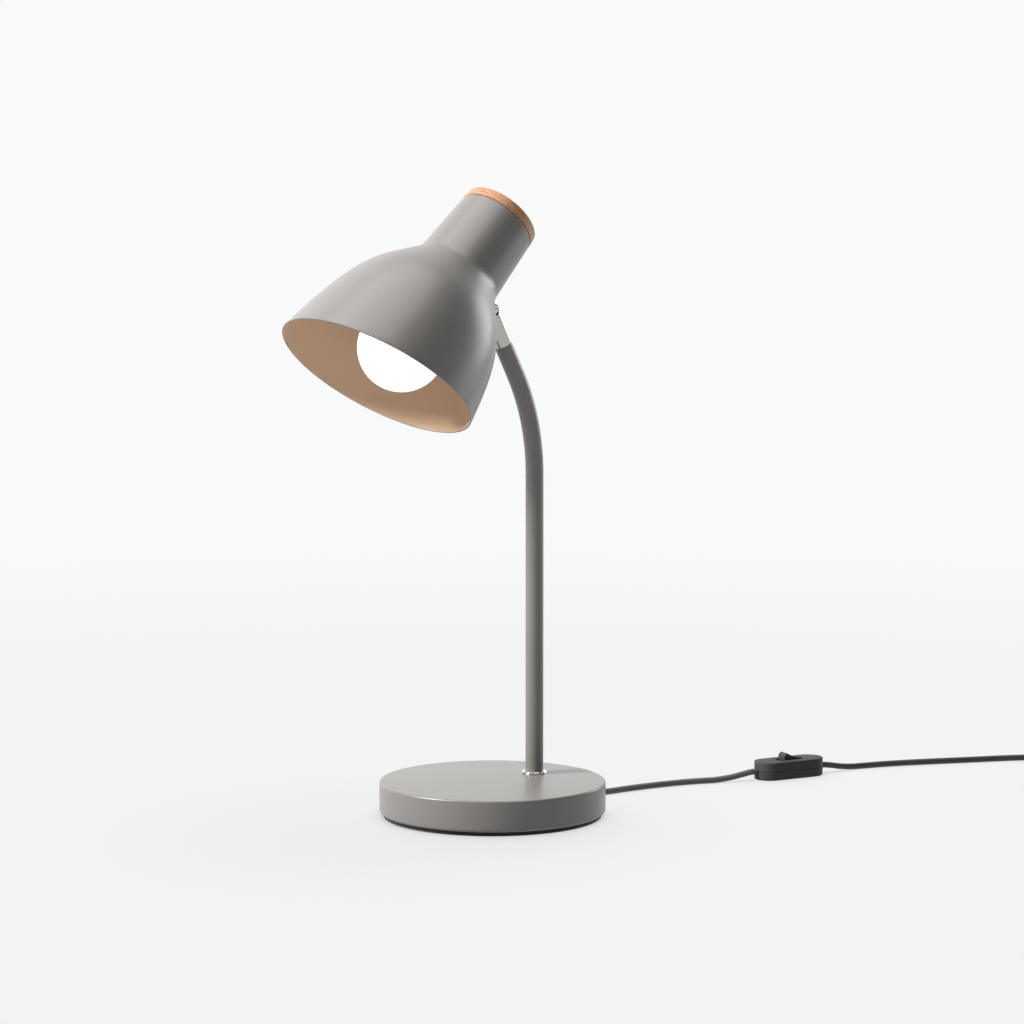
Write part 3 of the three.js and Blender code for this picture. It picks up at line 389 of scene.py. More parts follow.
@dataclass(frozen=True)
class OpalGlow(Finish):
    """Opal plastic lit from inside, a little dimmer towards the bulb's collar."""

    glow: float = 1.0
    warmth: Colour = (1.0, 0.98, 0.91)

    def grain(self, graph: Graph) -> dict[str, Wire]:
        """The glow fades by a fifth from the tip of the globe to its neck."""
        from_pivot = graph.place((SHADE_TILT, 0, 0), move=tuple(-local_pivot()))
        height = graph.node("ShaderNodeSeparateXYZ", inputs={0: from_pivot}, output="Z")
        fade = height.between(-0.085, -0.045)
        tint = graph.mixed(fade, self.warmth, shade_of(self.warmth, 0.8))
        frost = graph.noise(graph.place(), 700.0, 2.0)
        return {
            "Base Color": graph.mixed(frost, shade_of(self.colour, 0.97), self.colour),
            "Roughness": self.roughness + (frost - 0.5) * 0.05,
            "Emission Color": tint,
        }

    def material(self) -> bpy.types.Material:
        """The finish with its light turned on."""
        made = super().material()
        shader = next(n for n in made.node_tree.nodes if n.type == "BSDF_PRINCIPLED")
        shader.inputs["Emission Strength"].default_value = self.glow
        return made


def local_pivot() -> Vector:
    """The tilt axis as the shade's upright frame sees it, before the pivot is moved to its origin."""
    return Matrix.Rotation(SHADE_TILT, 3, "X") @ PIVOT


PAINT = PowderCoat("warm_grey_powder_coat", (0.142, 0.133, 0.125), 0.33)
# The lining's warm tan is partly painted light: the inside paint's colour is tinted to stand in for the
# bulb's warm glow falling on it.
LINING_PARTLY_PAINTED_GLOW = PowderCoat("shade_lining_with_painted_glow", (0.49, 0.328, 0.212), 0.55)
# Black rubber, set near black so that it also stands in for the shade in the gap under the cover: partly
# painted shade.
FOOT_RUBBER = Moulded("foot_rubber", (0.005, 0.005, 0.005), 0.8, specular=0.2)
IRON = CastIron("cast_iron", (0.06, 0.06, 0.063), 0.75)
CHROME = TurnedMetal("chrome", (0.80, 0.80, 0.82), 0.08, 1.0, marks=0.04)
NICKEL = TurnedMetal("satin_nickel", (0.44, 0.43, 0.41), 0.26, 1.0)
ZINC = TurnedMetal("zinc_plate", (0.62, 0.63, 0.65), 0.34, 1.0, along=(30, 1, 1))
BRASS = TurnedMetal("brass", (0.72, 0.53, 0.25), 0.30, 1.0)
WOOD = TurnedWood("oiled_wood", (0.34, 0.145, 0.058), 0.42)
FIBRE = Moulded("vulcanised_fibre", (0.16, 0.09, 0.05), 0.8)
HOLDER_BLACK = Moulded("lampholder_black", (0.016, 0.016, 0.016), 0.45)
SWITCH_BLACK = Moulded("switch_black", (0.008, 0.008, 0.0082), 0.40, specular=0.35)
WHITE_PLASTIC = Moulded("white_plastic", (0.80, 0.79, 0.76), 0.4)
OPAL = OpalGlow("opal_globe", (0.10, 0.095, 0.085), 0.25, glow=0.99)
GREY_SHEATH = Sheath("grey_sheath", (0.062, 0.058, 0.055), 0.5)
BLACK_SHEATH = Sheath("black_sheath", (0.022, 0.022, 0.023), 0.42)
PLUG_BLACK = Moulded("plug_black", (0.017, 0.017, 0.018), 0.5)
STRAP_BLACK = Moulded("strap_black", (0.022, 0.022, 0.022), 0.85, pitch=2600.0, depth=0.0001)


# ---- Mesh work ----


def arc(centre: tuple[float, float], radius: float, start: float, end: float,
        steps: int = 6) -> Profile:
    """Points round a corner.

    Args:
        centre: the corner's centre.
        radius: its radius.
        start: first angle in degrees.
        end: last angle in degrees.
        steps: how many stretches it has.

    Returns:
        The points, ends included.
    """
    angles = [math.radians(start + (end - start) * i / steps) for i in range(steps + 1)]
    return [(centre[0] + radius * math.cos(a), centre[1] + radius * math.sin(a)) for a in angles]


def spun(profile: Sequence[tuple[float, float]], ring: bool = False, steps: int = 96) -> bmesh.types.BMesh:
    """A profile turned all the way round the Z axis.

    Args:
        profile: (radius, height) points.
        ring: whether the last point joins the first.
        steps: how many sides the turn has.

    Returns:
        The mesh, its faces pointing out.
    """
    mesh = bmesh.new()
    points = [mesh.verts.new((radius, 0.0, height)) for radius, height in profile]
    pairs = list(zip(points, points[1:])) + ([(points[-1], points[0])] if ring else [])
    edges = [mesh.edges.new(pair) for pair in pairs]
    bmesh.ops.spin(mesh, geom=points + edges, cent=(0, 0, 0), axis=(0, 0, 1), angle=math.tau,
                   steps=steps, use_merge=True, use_duplicate=False)
    bmesh.ops.remove_doubles(mesh, verts=mesh.verts[:], dist=1e-7)
    bmesh.ops.recalc_face_normals(mesh, faces=mesh.faces[:])
    return mesh


def box_between(low: Sequence[float], high: Sequence[float]) -> bmesh.types.BMesh:
    """A block between two corners."""
    mesh = bmesh.new()
    low, high = Vector(low), Vector(high)
    bmesh.ops.create_cube(mesh, size=1.0, matrix=Matrix.LocRotScale((low + high) / 2, None, high - low))
    return mesh


def rod(radius: float, low: float, high: float, axis: str = "Z", sides: int = 48) -> bmesh.types.BMesh:
    """A round bar.

    Args:
        radius: its radius.
        low: where it starts along its axis.
        high: where it ends.
        axis: X, Y or Z.
        sides: how many sides it has.

    Returns:
        The mesh.
    """
    mesh = bmesh.new()
    turn = {"X": Matrix.Rotation(math.pi / 2, 4, "Y"), "Y": Matrix.Rotation(-math.pi / 2, 4, "X"),
            "Z": Matrix.Identity(4)}[axis]
    bmesh.ops.create_cone(mesh, cap_ends=True, segments=sides, radius1=radius, radius2=radius,
                          depth=high - low, matrix=turn @ Matrix.Translation((0, 0, (low + high) / 2)))
    return mesh


def slab_of(outline: Iterable[tuple[float, float]], low: float, high: float) -> bmesh.types.BMesh:
    """A flat outline in X and Y, raised from one height to another.

    Args:
        outline: its corners in order.
        low: the lower height.
        high: the upper height.

    Returns:
        The mesh.
    """
    mesh = bmesh.new()
    face = mesh.faces.new([mesh.verts.new((x, y, low)) for x, y in outline])
    raised = bmesh.ops.extrude_face_region(mesh, geom=[face])["geom"]
    bmesh.ops.translate(mesh, vec=(0, 0, high - low), verts=of_kind(raised, bmesh.types.BMVert))
    bmesh.ops.recalc_face_normals(mesh, faces=mesh.faces[:])
    return mesh


def of_kind(items: Iterable[Any], kind: type) -> list[Any]:
    """The corners, edges or faces among what an operator made."""
    return [item for item in items if isinstance(item, kind)]


def moved(mesh: bmesh.types.BMesh, *steps: Matrix) -> bmesh.types.BMesh:
    """The mesh put in place by matrices, the last one first."""
    place = Matrix.Identity(4)
    for step in steps:
        place = place @ step
    bmesh.ops.transform(mesh, matrix=place, verts=mesh.verts[:])
    return mesh


def rounded(mesh: bmesh.types.BMesh, edges: list[bmesh.types.BMEdge], width: float,
            segments: int) -> None:
    """Rounds some of a mesh's edges."""
    bmesh.ops.bevel(mesh, geom=edges, offset=width, offset_type="OFFSET", segments=segments,
                    profile=0.5, affect="EDGES", material=-1, clamp_overlap=True)


def eased(mesh: bmesh.types.BMesh, width: float, segments: int = 2,
          angle: float = 40.0) -> bmesh.types.BMesh:
    """The mesh with its sharp edges rounded.

    Args:
        mesh: the mesh.
        width: how wide the rounding is.
        segments: how fine it is.
        angle: edges sharper than this many degrees are rounded.

    Returns:
        The same mesh.
    """
    limit = math.radians(angle)
    sharp = [edge for edge in mesh.edges if edge.is_manifold and edge.calc_face_angle(0.0) > limit]
    rounded(mesh, sharp, width, segments)
    return mesh


def object_of(name: str, data: bpy.types.ID) -> bpy.types.Object:
    """A new object in the scene that shows some data."""
    made = bpy.data.objects.new(name, data)
    bpy.context.collection.objects.link(made)
    return made


def settled(name: str, mesh: bmesh.types.BMesh) -> bpy.types.Mesh:
    """A mesh's shape as mesh data; the mesh is used up."""
    data = bpy.data.meshes.new(name)
    mesh.to_mesh(data)
    mesh.free()
    return data


def piece_of(name: str, mesh: bmesh.types.BMesh, finish: Finish, crease: float = 32.0) -> bpy.types.Object:
    """Makes a mesh into a piece with a finish.

    Args:
        name: the piece's name.
        mesh: its shape, already in place; it is used up.
        finish: its finish.
        crease: edges sharper than this many degrees stay sharp to the eye.

    Returns:
        The piece.
    """
    data = settled(name, mesh)
    data.shade_smooth()
    data.set_sharp_from_angle(angle=math.radians(crease))
    data.materials.append(finish.material())
    piece = object_of(name, data)
    LOG.info("%s: %d faces, %s", name, len(data.polygons), finish.name)
    return piece


class Carve(Enum):
    """What a carving tool does to a piece."""

    CUT = "DIFFERENCE"
    KEEP = "INTERSECT"
    JOIN = "UNION"


def carved(mesh: bmesh.types.BMesh, *tools: tuple[Carve, bmesh.types.BMesh]) -> bmesh.types.BMesh:
    """The mesh with tools cut out of it, joined to it or kept to.

    Args:
        mesh: the shape to carve; it is used up.
        tools: what each tool does, and its shape; they are used up.

    Returns:
        The carved mesh.
    """
    work = object_of("carving", settled("carving", mesh))
    passing = [work]
    for how, tool in tools:
        cutter = object_of("carving", settled("carving", tool))
        passing.append(cutter)
        step = work.modifiers.new("carve", "BOOLEAN")
        step.operation = how.value
        step.solver = "EXACT"
        step.object = cutter
    bpy.context.view_layer.update()
    result = bmesh.new()
    result.from_object(work, bpy.context.evaluated_depsgraph_get())
    for item in passing:
        data = item.data
        bpy.data.objects.remove(item)
        bpy.data.meshes.remove(data)
    bmesh.ops.dissolve_limit(result, angle_limit=math.radians(0.5), verts=result.verts[:],
                             edges=result.edges[:])
    return result


def fit_to(piece: bpy.types.Object, body: Body, slot: str, *nodes: str) -> bpy.types.Object:
    """Puts a piece on its body in place of its solids.

    Args:
        piece: the piece.
        body: the body it rides on.
        slot: the record's material slot; not used.
        nodes: the solids it stands for.

    Returns:
        The piece.
    """
    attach(piece, body.value)
    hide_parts(*nodes)
    return piece


def paint_nodes(finish: Finish, *nodes: str) -> None:
    """Gives solids that show their own shape a finish.

    Args:
        finish: the finish.
        nodes: the solids' names.
    """
    for name in nodes:
        node = frame["nodes"][name]
        node.data.materials.clear()
        node.data.materials.append(finish.material())
        LOG.info("%s: %s", name, finish.name)


# ---- Camera, lights and floor ----


def direction(azimuth: float, elevation: float) -> Vector:
    """Which way an azimuth, 0 at the front, and an elevation point, both in degrees."""
    around, up = math.radians(azimuth), math.radians(elevation)
    return Vector((math.sin(around) * math.cos(up), -math.cos(around) * math.cos(up), math.sin(up)))


@dataclass
class Studio:
    """A pale floor, soft light from the upper left, and a camera a little above the lamp's base."""

    azimuth: float = 46.70
    elevation: float = 6.67
    distance: float = 2.7
    target: tuple[float, float, float] = (-0.0408, 0.0562, 0.1945)
    lens: float = 140.625
    floor_radius: float = 60.0
    backdrop: Colour = (0.945, 0.955, 0.952)
    lit_height: float = 0.2
    glow_from: float = 0.35
    glow_full: float = 1.6
    glow_near: float = 0.55
    floor_only: bpy.types.Collection | None = None

    def camera(self) -> None:
        """Makes the scene's camera."""
        back = direction(self.azimuth, self.elevation)
        data = bpy.data.cameras.new("camera")
        data.lens = self.lens
        data.sensor_width = 36.0
        camera = object_of("camera", data)
        camera.location = Vector(self.target) + back * self.distance
        camera.rotation_mode = "QUATERNION"
        camera.rotation_quaternion = (-back).to_track_quat("-Z", "Y")
        bpy.context.scene.camera = camera

    def lamp(self, name: str, side: float, height: float, away: float, width: float, power: float,
             on_floor: bool = False) -> None:
        """Adds a soft light that looks at the lamp.

        Args:
            name: the light's name.
            side: degrees to the camera's right, negative to its left.
            height: degrees above the floor.
            away: metres from the lamp.
            width: the light's width in metres.
            power: watts.
            on_floor: whether it lights the floor too.
        """
        back = direction(self.azimuth + side, height)
        data = bpy.data.lights.new(name, "AREA")
        data.shape = "DISK"
        data.size = width
        data.energy = power
        light = object_of(name, data)
        light.location = Vector((0, 0, self.lit_height)) + back * away
        light.rotation_euler = (-back).to_track_quat("-Z", "Y").to_euler()
        if not on_floor:
            light.light_linking.receiver_collection = self.floor_only

    def floor(self) -> None:
        """Makes the pale floor, lit evenly by itself some way from the lamp."""
        mesh = bmesh.new()
        bmesh.ops.create_circle(mesh, cap_ends=True, radius=self.floor_radius, segments=96)
        data = settled("floor", mesh)
        white = bpy.data.materials.new("floor_white")
        graph = Graph(white)
        near = graph.node("ShaderNodeBsdfPrincipled", inputs={
            "Base Color": (0.93, 0.93, 0.93, 1.0), "Roughness": 0.9, "Specular IOR Level": 0.0})
        far = graph.node("ShaderNodeEmission", inputs={"Color": (*self.backdrop, 1.0), "Strength": 1.0})
        reach = graph.node("ShaderNodeVectorMath", {"operation": "LENGTH"}, {0: graph.place()}, "Value")
        share = reach.between(self.glow_from, self.glow_full) * (1.0 - self.glow_near) + self.glow_near
        both = graph.node("ShaderNodeMixShader", inputs={0: share, 1: near, 2: far})
        graph.surface(both)
        data.materials.append(white)
        floor = object_of("floor", data)
        self.floor_only = bpy.data.collections.new("floor_only")
        self.floor_only.objects.link(floor)
        self.floor_only.collection_objects[0].light_linking.link_state = "EXCLUDE"

    def surroundings(self) -> None:
        """Makes the room's light: bright behind the lamp and to its left, dark to its right."""
        world = bpy.data.worlds.new("studio")
        bpy.context.scene.world = world
        graph = Graph(world)
        around = math.radians(self.azimuth)
        behind = (-math.sin(around), math.cos(around), 0.0)
        left = (-math.cos(around), -math.sin(around), 0.0)
        way = graph.node("ShaderNodeTexCoord", output="Generated")

        def towards(direction: tuple[float, float, float]) -> Wire:
            """How far a ray looks towards a direction, from -1 to 1."""
            return graph.node("ShaderNodeVectorMath", {"operation": "DOT_PRODUCT"},
                              {0: way, 1: direction}, "Value")

        back_glow = towards(behind).between(0.1, 0.9) * 1.1
        left_glow = towards(left).between(0.2, 0.9) * 0.15
        top_glow = towards((0.0, 0.0, 1.0)).between(0.3, 1.0) * 0.15
        seen = graph.node("ShaderNodeLightPath", output="Is Camera Ray")
        strength = seen + (1 - seen) * (back_glow + left_glow + top_glow + 0.08)
        light = graph.node("ShaderNodeBackground", inputs={
            "Color": (*self.backdrop, 1.0), "Strength": strength})
        graph.surface(light, "ShaderNodeOutputWorld")

    def build(self) -> None:
        """Makes the camera, the lights and the floor."""
        self.camera()
        self.floor()
        self.surroundings()
        self.lamp("key_light", -74.0, 36.0, 2.2, 0.75, 128.0)
        self.lamp("top_light", 0.0, 88.0, 3.0, 3.2, 65.0, on_floor=True)
        self.lamp("rim_light", 128.0, 12.0, 2.6, 1.4, 20.0)
        bpy.context.scene.view_settings.view_transform = "Standard"


# ---- Lead and plug ----


@dataclass
class Lead:
    """The mains lead: grey from the base to the switch, black from there to the coil and the plug."""

    radius: float = 0.0021
    column_pitch: float = 0.0044
    inner_column: float = 0.0175
    first_layer: float = 0.00215
    layer_pitch: float = 0.00425
    coil_centre: tuple[float, float] = (0.1616, 0.4378)
    start_angle: float = 150.0
    jog_angle: float = -90.0
    jog_half: float = 26.0
    tie_angle: float = -45.0
    tie_lift: float = 0.00095
    tie_width: float = 0.008
    tie_thickness: float = 0.0009
    plug_place: tuple[float, float] = (0.1936, 0.3867)
    plug_length: float = 0.034
    plug_width: float = 0.035
    plug_thickness: float = 0.0137
    boot_length: float = 0.022
    pin_spacing: float = 0.019
    pin_radius: float = 0.002
    pin_length: float = 0.019

    grey_route = [
        (0.0, 98.0, 2.9), (0.2, 103.5, 2.35), (0.7, 110, 2.15), (1.6, 120, 2.15), (3.0, 131, 2.15),
        (5.0, 143, 2.15), (7.8, 156, 2.15), (11.3, 168.5, 2.15), (15.9, 180.5, 2.15),
        (20.9, 191.5, 2.2), (25.4, 202, 3.2), (28.9, 210.5, 4.8), (31.1, 216.4, 5.85),
        (32.4, 220.8, 6), (33.5, 225, 6),
    ]
    black_route = [
        (44.4, 268.5, 6), (45.8, 274.2, 5.85), (47.4, 281, 4.9), (49.2, 289, 3.4), (51.4, 298, 2.4),
        (54.4, 308.5, 2.15), (58.8, 320.5, 2.15), (64.6, 333.5, 2.15), (71.6, 347, 2.15),
        (79.4, 361, 2.15), (87.6, 375.5, 2.15), (95.8, 390, 2.15), (104, 404.5, 2.15),
        (110.2, 414.2, 2.15), (116.4, 424, 2.15), (121.1, 431.4, 2.15), (125.7, 438.6, 2.15),
    ]
    tail_route = [(192.3, 420.6, 10.3), (192.8, 417, 9.2), (193.3, 413.4, 7.8), (193.6, 409.8, 7)]

    # Column and layer of each turn of the coil, from the outside in and back out.
    slots = [(3, 0), (2, 0), (1, 0), (0, 0), (0, 1), (1, 1), (2, 1), (3, 1), (3, 2)]

    @staticmethod
    def metres(route: Sequence[tuple[float, float, float]]) -> list[Vector]:
        """A route's millimetres as metres."""
        return [Vector(point) * 0.001 for point in route]

    def slot_place(self, turn: int) -> tuple[float, float]:
        """Radius and height of a turn."""
        column, layer = self.slots[turn]
        return (self.inner_column + self.column_pitch * column,
                self.first_layer + self.layer_pitch * layer)

    def coil_points(self) -> list[Vector]:
        """The coil's centre line, clockwise, stepping to the next turn at one place.

        Returns:
            About 20 points for each turn.
        """
        points = []
        step = 15.0
        first_jog = self.start_angle - self.jog_angle
        total = first_jog + 360.0 * (len(self.slots) - 2) + (360.0 + self.jog_angle)
        for i in range(1, round(total / step) + 1):
            gone = i * step
            turn = min(max(0, math.floor((gone - first_jog) / 360.0 + 0.5)), len(self.slots) - 2)
            past = gone - first_jog - 360.0 * turn
            part = min(max((past + self.jog_half) / (2 * self.jog_half), 0.0), 1.0)
            ease = part * part * (3 - 2 * part)
            (r0, z0), (r1, z1) = self.slot_place(turn), self.slot_place(turn + 1)
            angle = math.radians(self.start_angle - gone)
            off_tie = (self.start_angle - gone - self.tie_angle + 180.0) % 360.0 - 180.0
            lift = self.tie_lift * max(0.0, 1.0 - max(0.0, abs(off_tie) - 14.0) / 20.0)
            radius = r0 + (r1 - r0) * ease
            height = z0 + (z1 - z0) * ease + lift
            points.append(Vector((self.coil_centre[0] + radius * math.cos(angle),
                                  self.coil_centre[1] + radius * math.sin(angle), height)))
        return points

    def strand(self, name: str, points: Sequence[Vector], finish: Finish) -> bpy.types.Object:
        """A round sheathed lead on one smooth line.

        Args:
            name: the piece's name.
            points: its centre line.
            finish: its finish.

        Returns:
            The piece.
        """
        curve = bpy.data.curves.new(name, "CURVE")
        curve.dimensions = "3D"
        curve.bevel_depth = self.radius
        curve.bevel_resolution = 5
        curve.resolution_u = 6
        curve.use_fill_caps = True
        line = curve.splines.new("BEZIER")
        line.bezier_points.add(len(points) - 1)
        for knot, point in zip(line.bezier_points, points):
            knot.co = point
            knot.handle_left_type = knot.handle_right_type = "AUTO"
        curve.materials.append(finish.material())
        piece = object_of(name, curve)
        LOG.info("%s: %d points, %s", name, len(points), finish.name)
        return piece

    @staticmethod
    def run_length(points: Sequence[Vector]) -> float:
        """The length of a line of points."""
        return sum((b - a).length for a, b in zip(points, points[1:]))

    def tie(self) -> bpy.types.Object:
        """The strap round the coil's turns."""
        low, high = self.inner_column - self.radius - 0.0003, self.slot_place(0)[0] + self.radius + 0.0003
        top = self.slot_place(5)[1] + self.tie_lift + self.radius + 0.0002
        skin = self.tie_thickness
        corner = 0.0016
        outline = [
            *arc((high - corner, skin + corner), corner, -90, 0),
            *arc((high - corner, top - corner), corner, 0, 90),
            *arc((low + corner, top - corner), corner, 90, 180),
            *arc((low + corner, skin + corner), corner, 180, 270),
        ]
        band = bmesh.new()
        points = [band.verts.new((x, -self.tie_width / 2, z)) for x, z in outline]
        edges = [band.edges.new((a, b)) for a, b in zip(points, points[1:] + points[:1])]
        across = bmesh.ops.extrude_edge_only(band, edges=edges)["geom"]
        bmesh.ops.translate(band, vec=(0, self.tie_width, 0), verts=of_kind(across, bmesh.types.BMVert))
        bmesh.ops.recalc_face_normals(band, faces=band.faces[:])
        bmesh.ops.solidify(band, geom=band.faces[:], thickness=-skin)
        bmesh.ops.recalc_face_normals(band, faces=band.faces[:])
        place = Matrix.Translation((*self.coil_centre, 0)) @ Matrix.Rotation(
            math.radians(self.tie_angle), 4, "Z")
        return piece_of("coil_strap", moved(band, place), STRAP_BLACK)

    def plug_frame(self) -> Matrix:
        """The plug's own frame: pins along +X, its middle height at 0."""
        return Matrix.Translation((*self.plug_place, self.plug_thickness / 2)) @ Matrix.Rotation(
            -math.pi / 2, 4, "Z")

    def plug(self) -> bpy.types.Object:
        """The moulded plug with its ribbed strain relief and the pins' sleeves."""
        length, half = self.plug_length, self.plug_width / 2
        side = [
            (0.0, 0.0060), (0.0035, 0.0063), (0.0075, 0.0074), (0.0115, 0.0092), (0.0155, 0.0115),
            (0.0211, half - 0.0035), (length - 0.0040, half - 0.0010), (length, half - 0.0025),
        ]
        outline = side + [(x, -y) for x, y in reversed(side)]
        body = slab_of(reversed(outline), -self.plug_thickness / 2, self.plug_thickness / 2)
        eased(body, 0.0014, 3, 50.0)
        ribs: Profile = [(0.0, -self.boot_length), (self.radius + 0.0006, -self.boot_length)]
        count = 7
        for i in range(count):
            start = -self.boot_length + 0.0012 + i * 0.0029
            wide = self.radius + 0.0007 + 0.0018 * (i + 0.5) / count
            ribs += [(wide, start), (wide + 0.0001, start + 0.0016), (wide - 0.0009, start + 0.0019),
                     (wide - 0.0008, start + 0.0026)]
        ribs += [(self.radius + 0.0026, -0.0010), (self.radius + 0.0026, 0.0010), (0.0, 0.0010)]
        boot = moved(spun(ribs, steps=40), Matrix.Rotation(math.pi / 2, 4, "Y"))
        tools = [(Carve.JOIN, boot)]
        for way in (-1, 1):
            sleeve = rod(self.pin_radius, length - 0.004, length + 0.0095, "X", 40)
            moved(sleeve, Matrix.Translation((0, way * self.pin_spacing / 2, 0)))
            tools.append((Carve.JOIN, sleeve))
        return piece_of("mains_plug", moved(carved(body, *tools), self.plug_frame()), PLUG_BLACK)

    def pin(self, way: int) -> bpy.types.Object:
        """A round pin with a rounded tip, at one side of the plug."""
        tip, r = self.plug_length + self.pin_length, self.pin_radius
        profile = [(0.0, self.plug_length + 0.008), (r - 0.0002, self.plug_length + 0.008),
                   (r - 0.0002, self.plug_length + 0.0095), (r, self.plug_length + 0.0097),
                   *arc((r - 0.0012, tip - 0.0012), 0.0012, 0, 90), (0.0, tip)]
        name = "plug_contact_right" if way > 0 else "plug_contact_left"
        mesh = moved(spun(profile, steps=40), self.plug_frame(),
                     Matrix.Translation((0, way * self.pin_spacing / 2, 0)),
                     Matrix.Rotation(math.pi / 2, 4, "Y"))
        return piece_of(name, mesh, NICKEL)

    def build(self, switch_pieces: Sequence[bpy.types.Object]) -> None:
        """Args:
            switch_pieces: the switch's pieces, which the grey stretch ends in; not used.
        """
        grey_points = self.metres(self.grey_route)
        black_points = [*self.metres(self.black_route), *self.coil_points(), *self.metres(self.tail_route)]
        grey = fit_to(self.strand("lead_to_switch", grey_points, GREY_SHEATH),
                      Body.BASE, "lead_grey", "cord_grey")
        black = fit_to(self.strand("lead_to_plug", black_points, BLACK_SHEATH),
                       Body.BASE, "lead_black", "cord_black", "cord_coil", "cord_tail")
        strap = fit_to(self.tie(), Body.BASE, "tie_strap", "cord_tie")
        plug = fit_to(self.plug(), Body.BASE, "plug_black", "plug_body")
        pins = [fit_to(self.pin(way), Body.BASE, "plug_pins", node)
                for way, node in ((-1, "plug_pin_left"), (1, "plug_pin_right"))]


# ---- In-line switch ----


@dataclass
class InlineSwitch:
    """The switch on the lead: a tray, a cover and a rocker that tips on its axle."""

    place: tuple[float, float] = (0.0389, 0.2465)
    turn: float = 76.0
    length: float = 0.053
    width: float = 0.021
    height: float = 0.0126
    parting: float = 0.006
    wall: float = 0.0016
    lead_hole: float = 0.0025
    joint_gap: float = 0.00012
    screw_place: float = 0.0165
    screw_room: float = 0.0029
    rocker_half: float = 0.008
    rocker_width: float = 0.008
    rocker_room: float = 0.0044
    half_travel: float = 18.0

    def frame_matrix(self) -> Matrix:
        """The switch's own frame: the lead along X, the base's end at -X."""
        return Matrix.Translation((*self.place, 0)) @ Matrix.Rotation(math.radians(self.turn), 4, "Z")

    def outline(self, inset: float) -> Profile:
        """The round-ended outline, inset from the switch's side."""
        radius = self.width / 2 - inset
        straight = self.length / 2 - self.width / 2
        return [*arc((straight, 0), radius, -90, 90, 20), *arc((-straight, 0), radius, 90, 270, 20)]

    def shell(self, low: float, high: float, open_high: bool, soft: float) -> bmesh.types.BMesh:
        """A round-ended tray or lid with a rounded closed side.

        Args:
            low: its lower height.
            high: its upper height.
            open_high: whether it is open at the top.
            soft: radius of the closed side's edge.

        Returns:
            The mesh.
        """
        outer = slab_of(self.outline(0.0), low, high)
        closed_at = low if open_high else high
        rim = [edge for edge in outer.edges if all(abs(v.co.z - closed_at) < 1e-6 for v in edge.verts)]
        rounded(outer, rim, soft, 4)
        inside = (low + self.wall, high + 0.001) if open_high else (low - 0.001, high - self.wall)
        return carved(outer, (Carve.CUT, slab_of(self.outline(self.wall), *inside)))

    def lead_holes(self) -> bmesh.types.BMesh:
        """The round openings for the lead, through both ends."""
        hole = rod(self.lead_hole, -self.length, self.length, "X")
        return moved(hole, Matrix.Translation((0, 0, self.parting)))

    def tray(self) -> bpy.types.Object:
        """The lower half."""
        mesh = self.shell(0.0, self.parting - self.joint_gap, True, 0.0012)
        screws = [(Carve.CUT, moved(rod(self.screw_room, -0.001, 0.0009), Matrix.Translation((x, 0, 0))))
                  for x in (-self.screw_place, self.screw_place)]
        mesh = carved(mesh, (Carve.CUT, self.lead_holes()), *screws)
        return piece_of("switch_lower_half", moved(mesh, self.frame_matrix()), SWITCH_BLACK)

    def cover(self) -> bpy.types.Object:
        """The upper half, with a raised lip round the rocker's opening."""
        mesh = self.shell(self.parting + self.joint_gap, self.height, False, 0.0007)
        room = box_between((-self.rocker_half - 0.0014, -self.rocker_room, self.parting),
                           (self.rocker_half + 0.0014, self.rocker_room, self.height + 0.002))
        mesh = carved(mesh, (Carve.CUT, self.lead_holes()), (Carve.CUT, room))
        return piece_of("switch_upper_half", moved(mesh, self.frame_matrix()), SWITCH_BLACK)

    def rocker(self) -> bpy.types.Object:
        """The rocker, hollowed on top, with its base end up."""
        end = self.rocker_half
        steps = 10
        lip = end - 0.0014
        hollow = [(lip - 2 * lip * i / steps, 0.0069 - 0.0008 * (1 - (1 - 2 * i / steps) ** 2))
                  for i in range(steps + 1)]
        outline = [*hollow, (0.0002 - end, 0.0044), (0.0012 - end, 0.0014), (-0.003, -0.0022),
                   (0.003, -0.0022), (end - 0.0012, 0.0014), (end - 0.0002, 0.0044)]
        mesh = slab_of(outline, -self.rocker_width / 2, self.rocker_width / 2)
        eased(mesh, 0.00035, 2, 40.0)
        axle = Matrix.Translation((0, 0, Vector(joint("rocker_press")["pos_m"]).z))
        mesh = moved(mesh, self.frame_matrix(), axle,
                     Matrix.Rotation(math.radians(self.half_travel), 4, "Y"),
                     Matrix.Rotation(math.pi / 2, 4, "X"))
        return piece_of("rocker_key", mesh, SWITCH_BLACK, 25.0)

    def build(self) -> list[bpy.types.Object]:
        """Makes the switch.

        Returns:
            All its pieces, those that show their own solid included.
        """
        made = [
            fit_to(self.tray(), Body.BASE, "switch_black", "switch_tray"),
            fit_to(self.cover(), Body.BASE, "switch_black", "switch_cover"),
            fit_to(self.rocker(), Body.ROCKER, "switch_black", "switch_rocker"),
        ]
        paint_nodes(BRASS, "switch_contact_in", "switch_contact_out")
        paint_nodes(ZINC, "rocker_axle", "switch_screw_in", "switch_screw_out")
        kept = ("switch_contact_in", "switch_contact_out", "rocker_axle", "switch_screw_in",
                "switch_screw_out")
        return made + [frame["nodes"][name] for name in kept]


# ---- Base ----


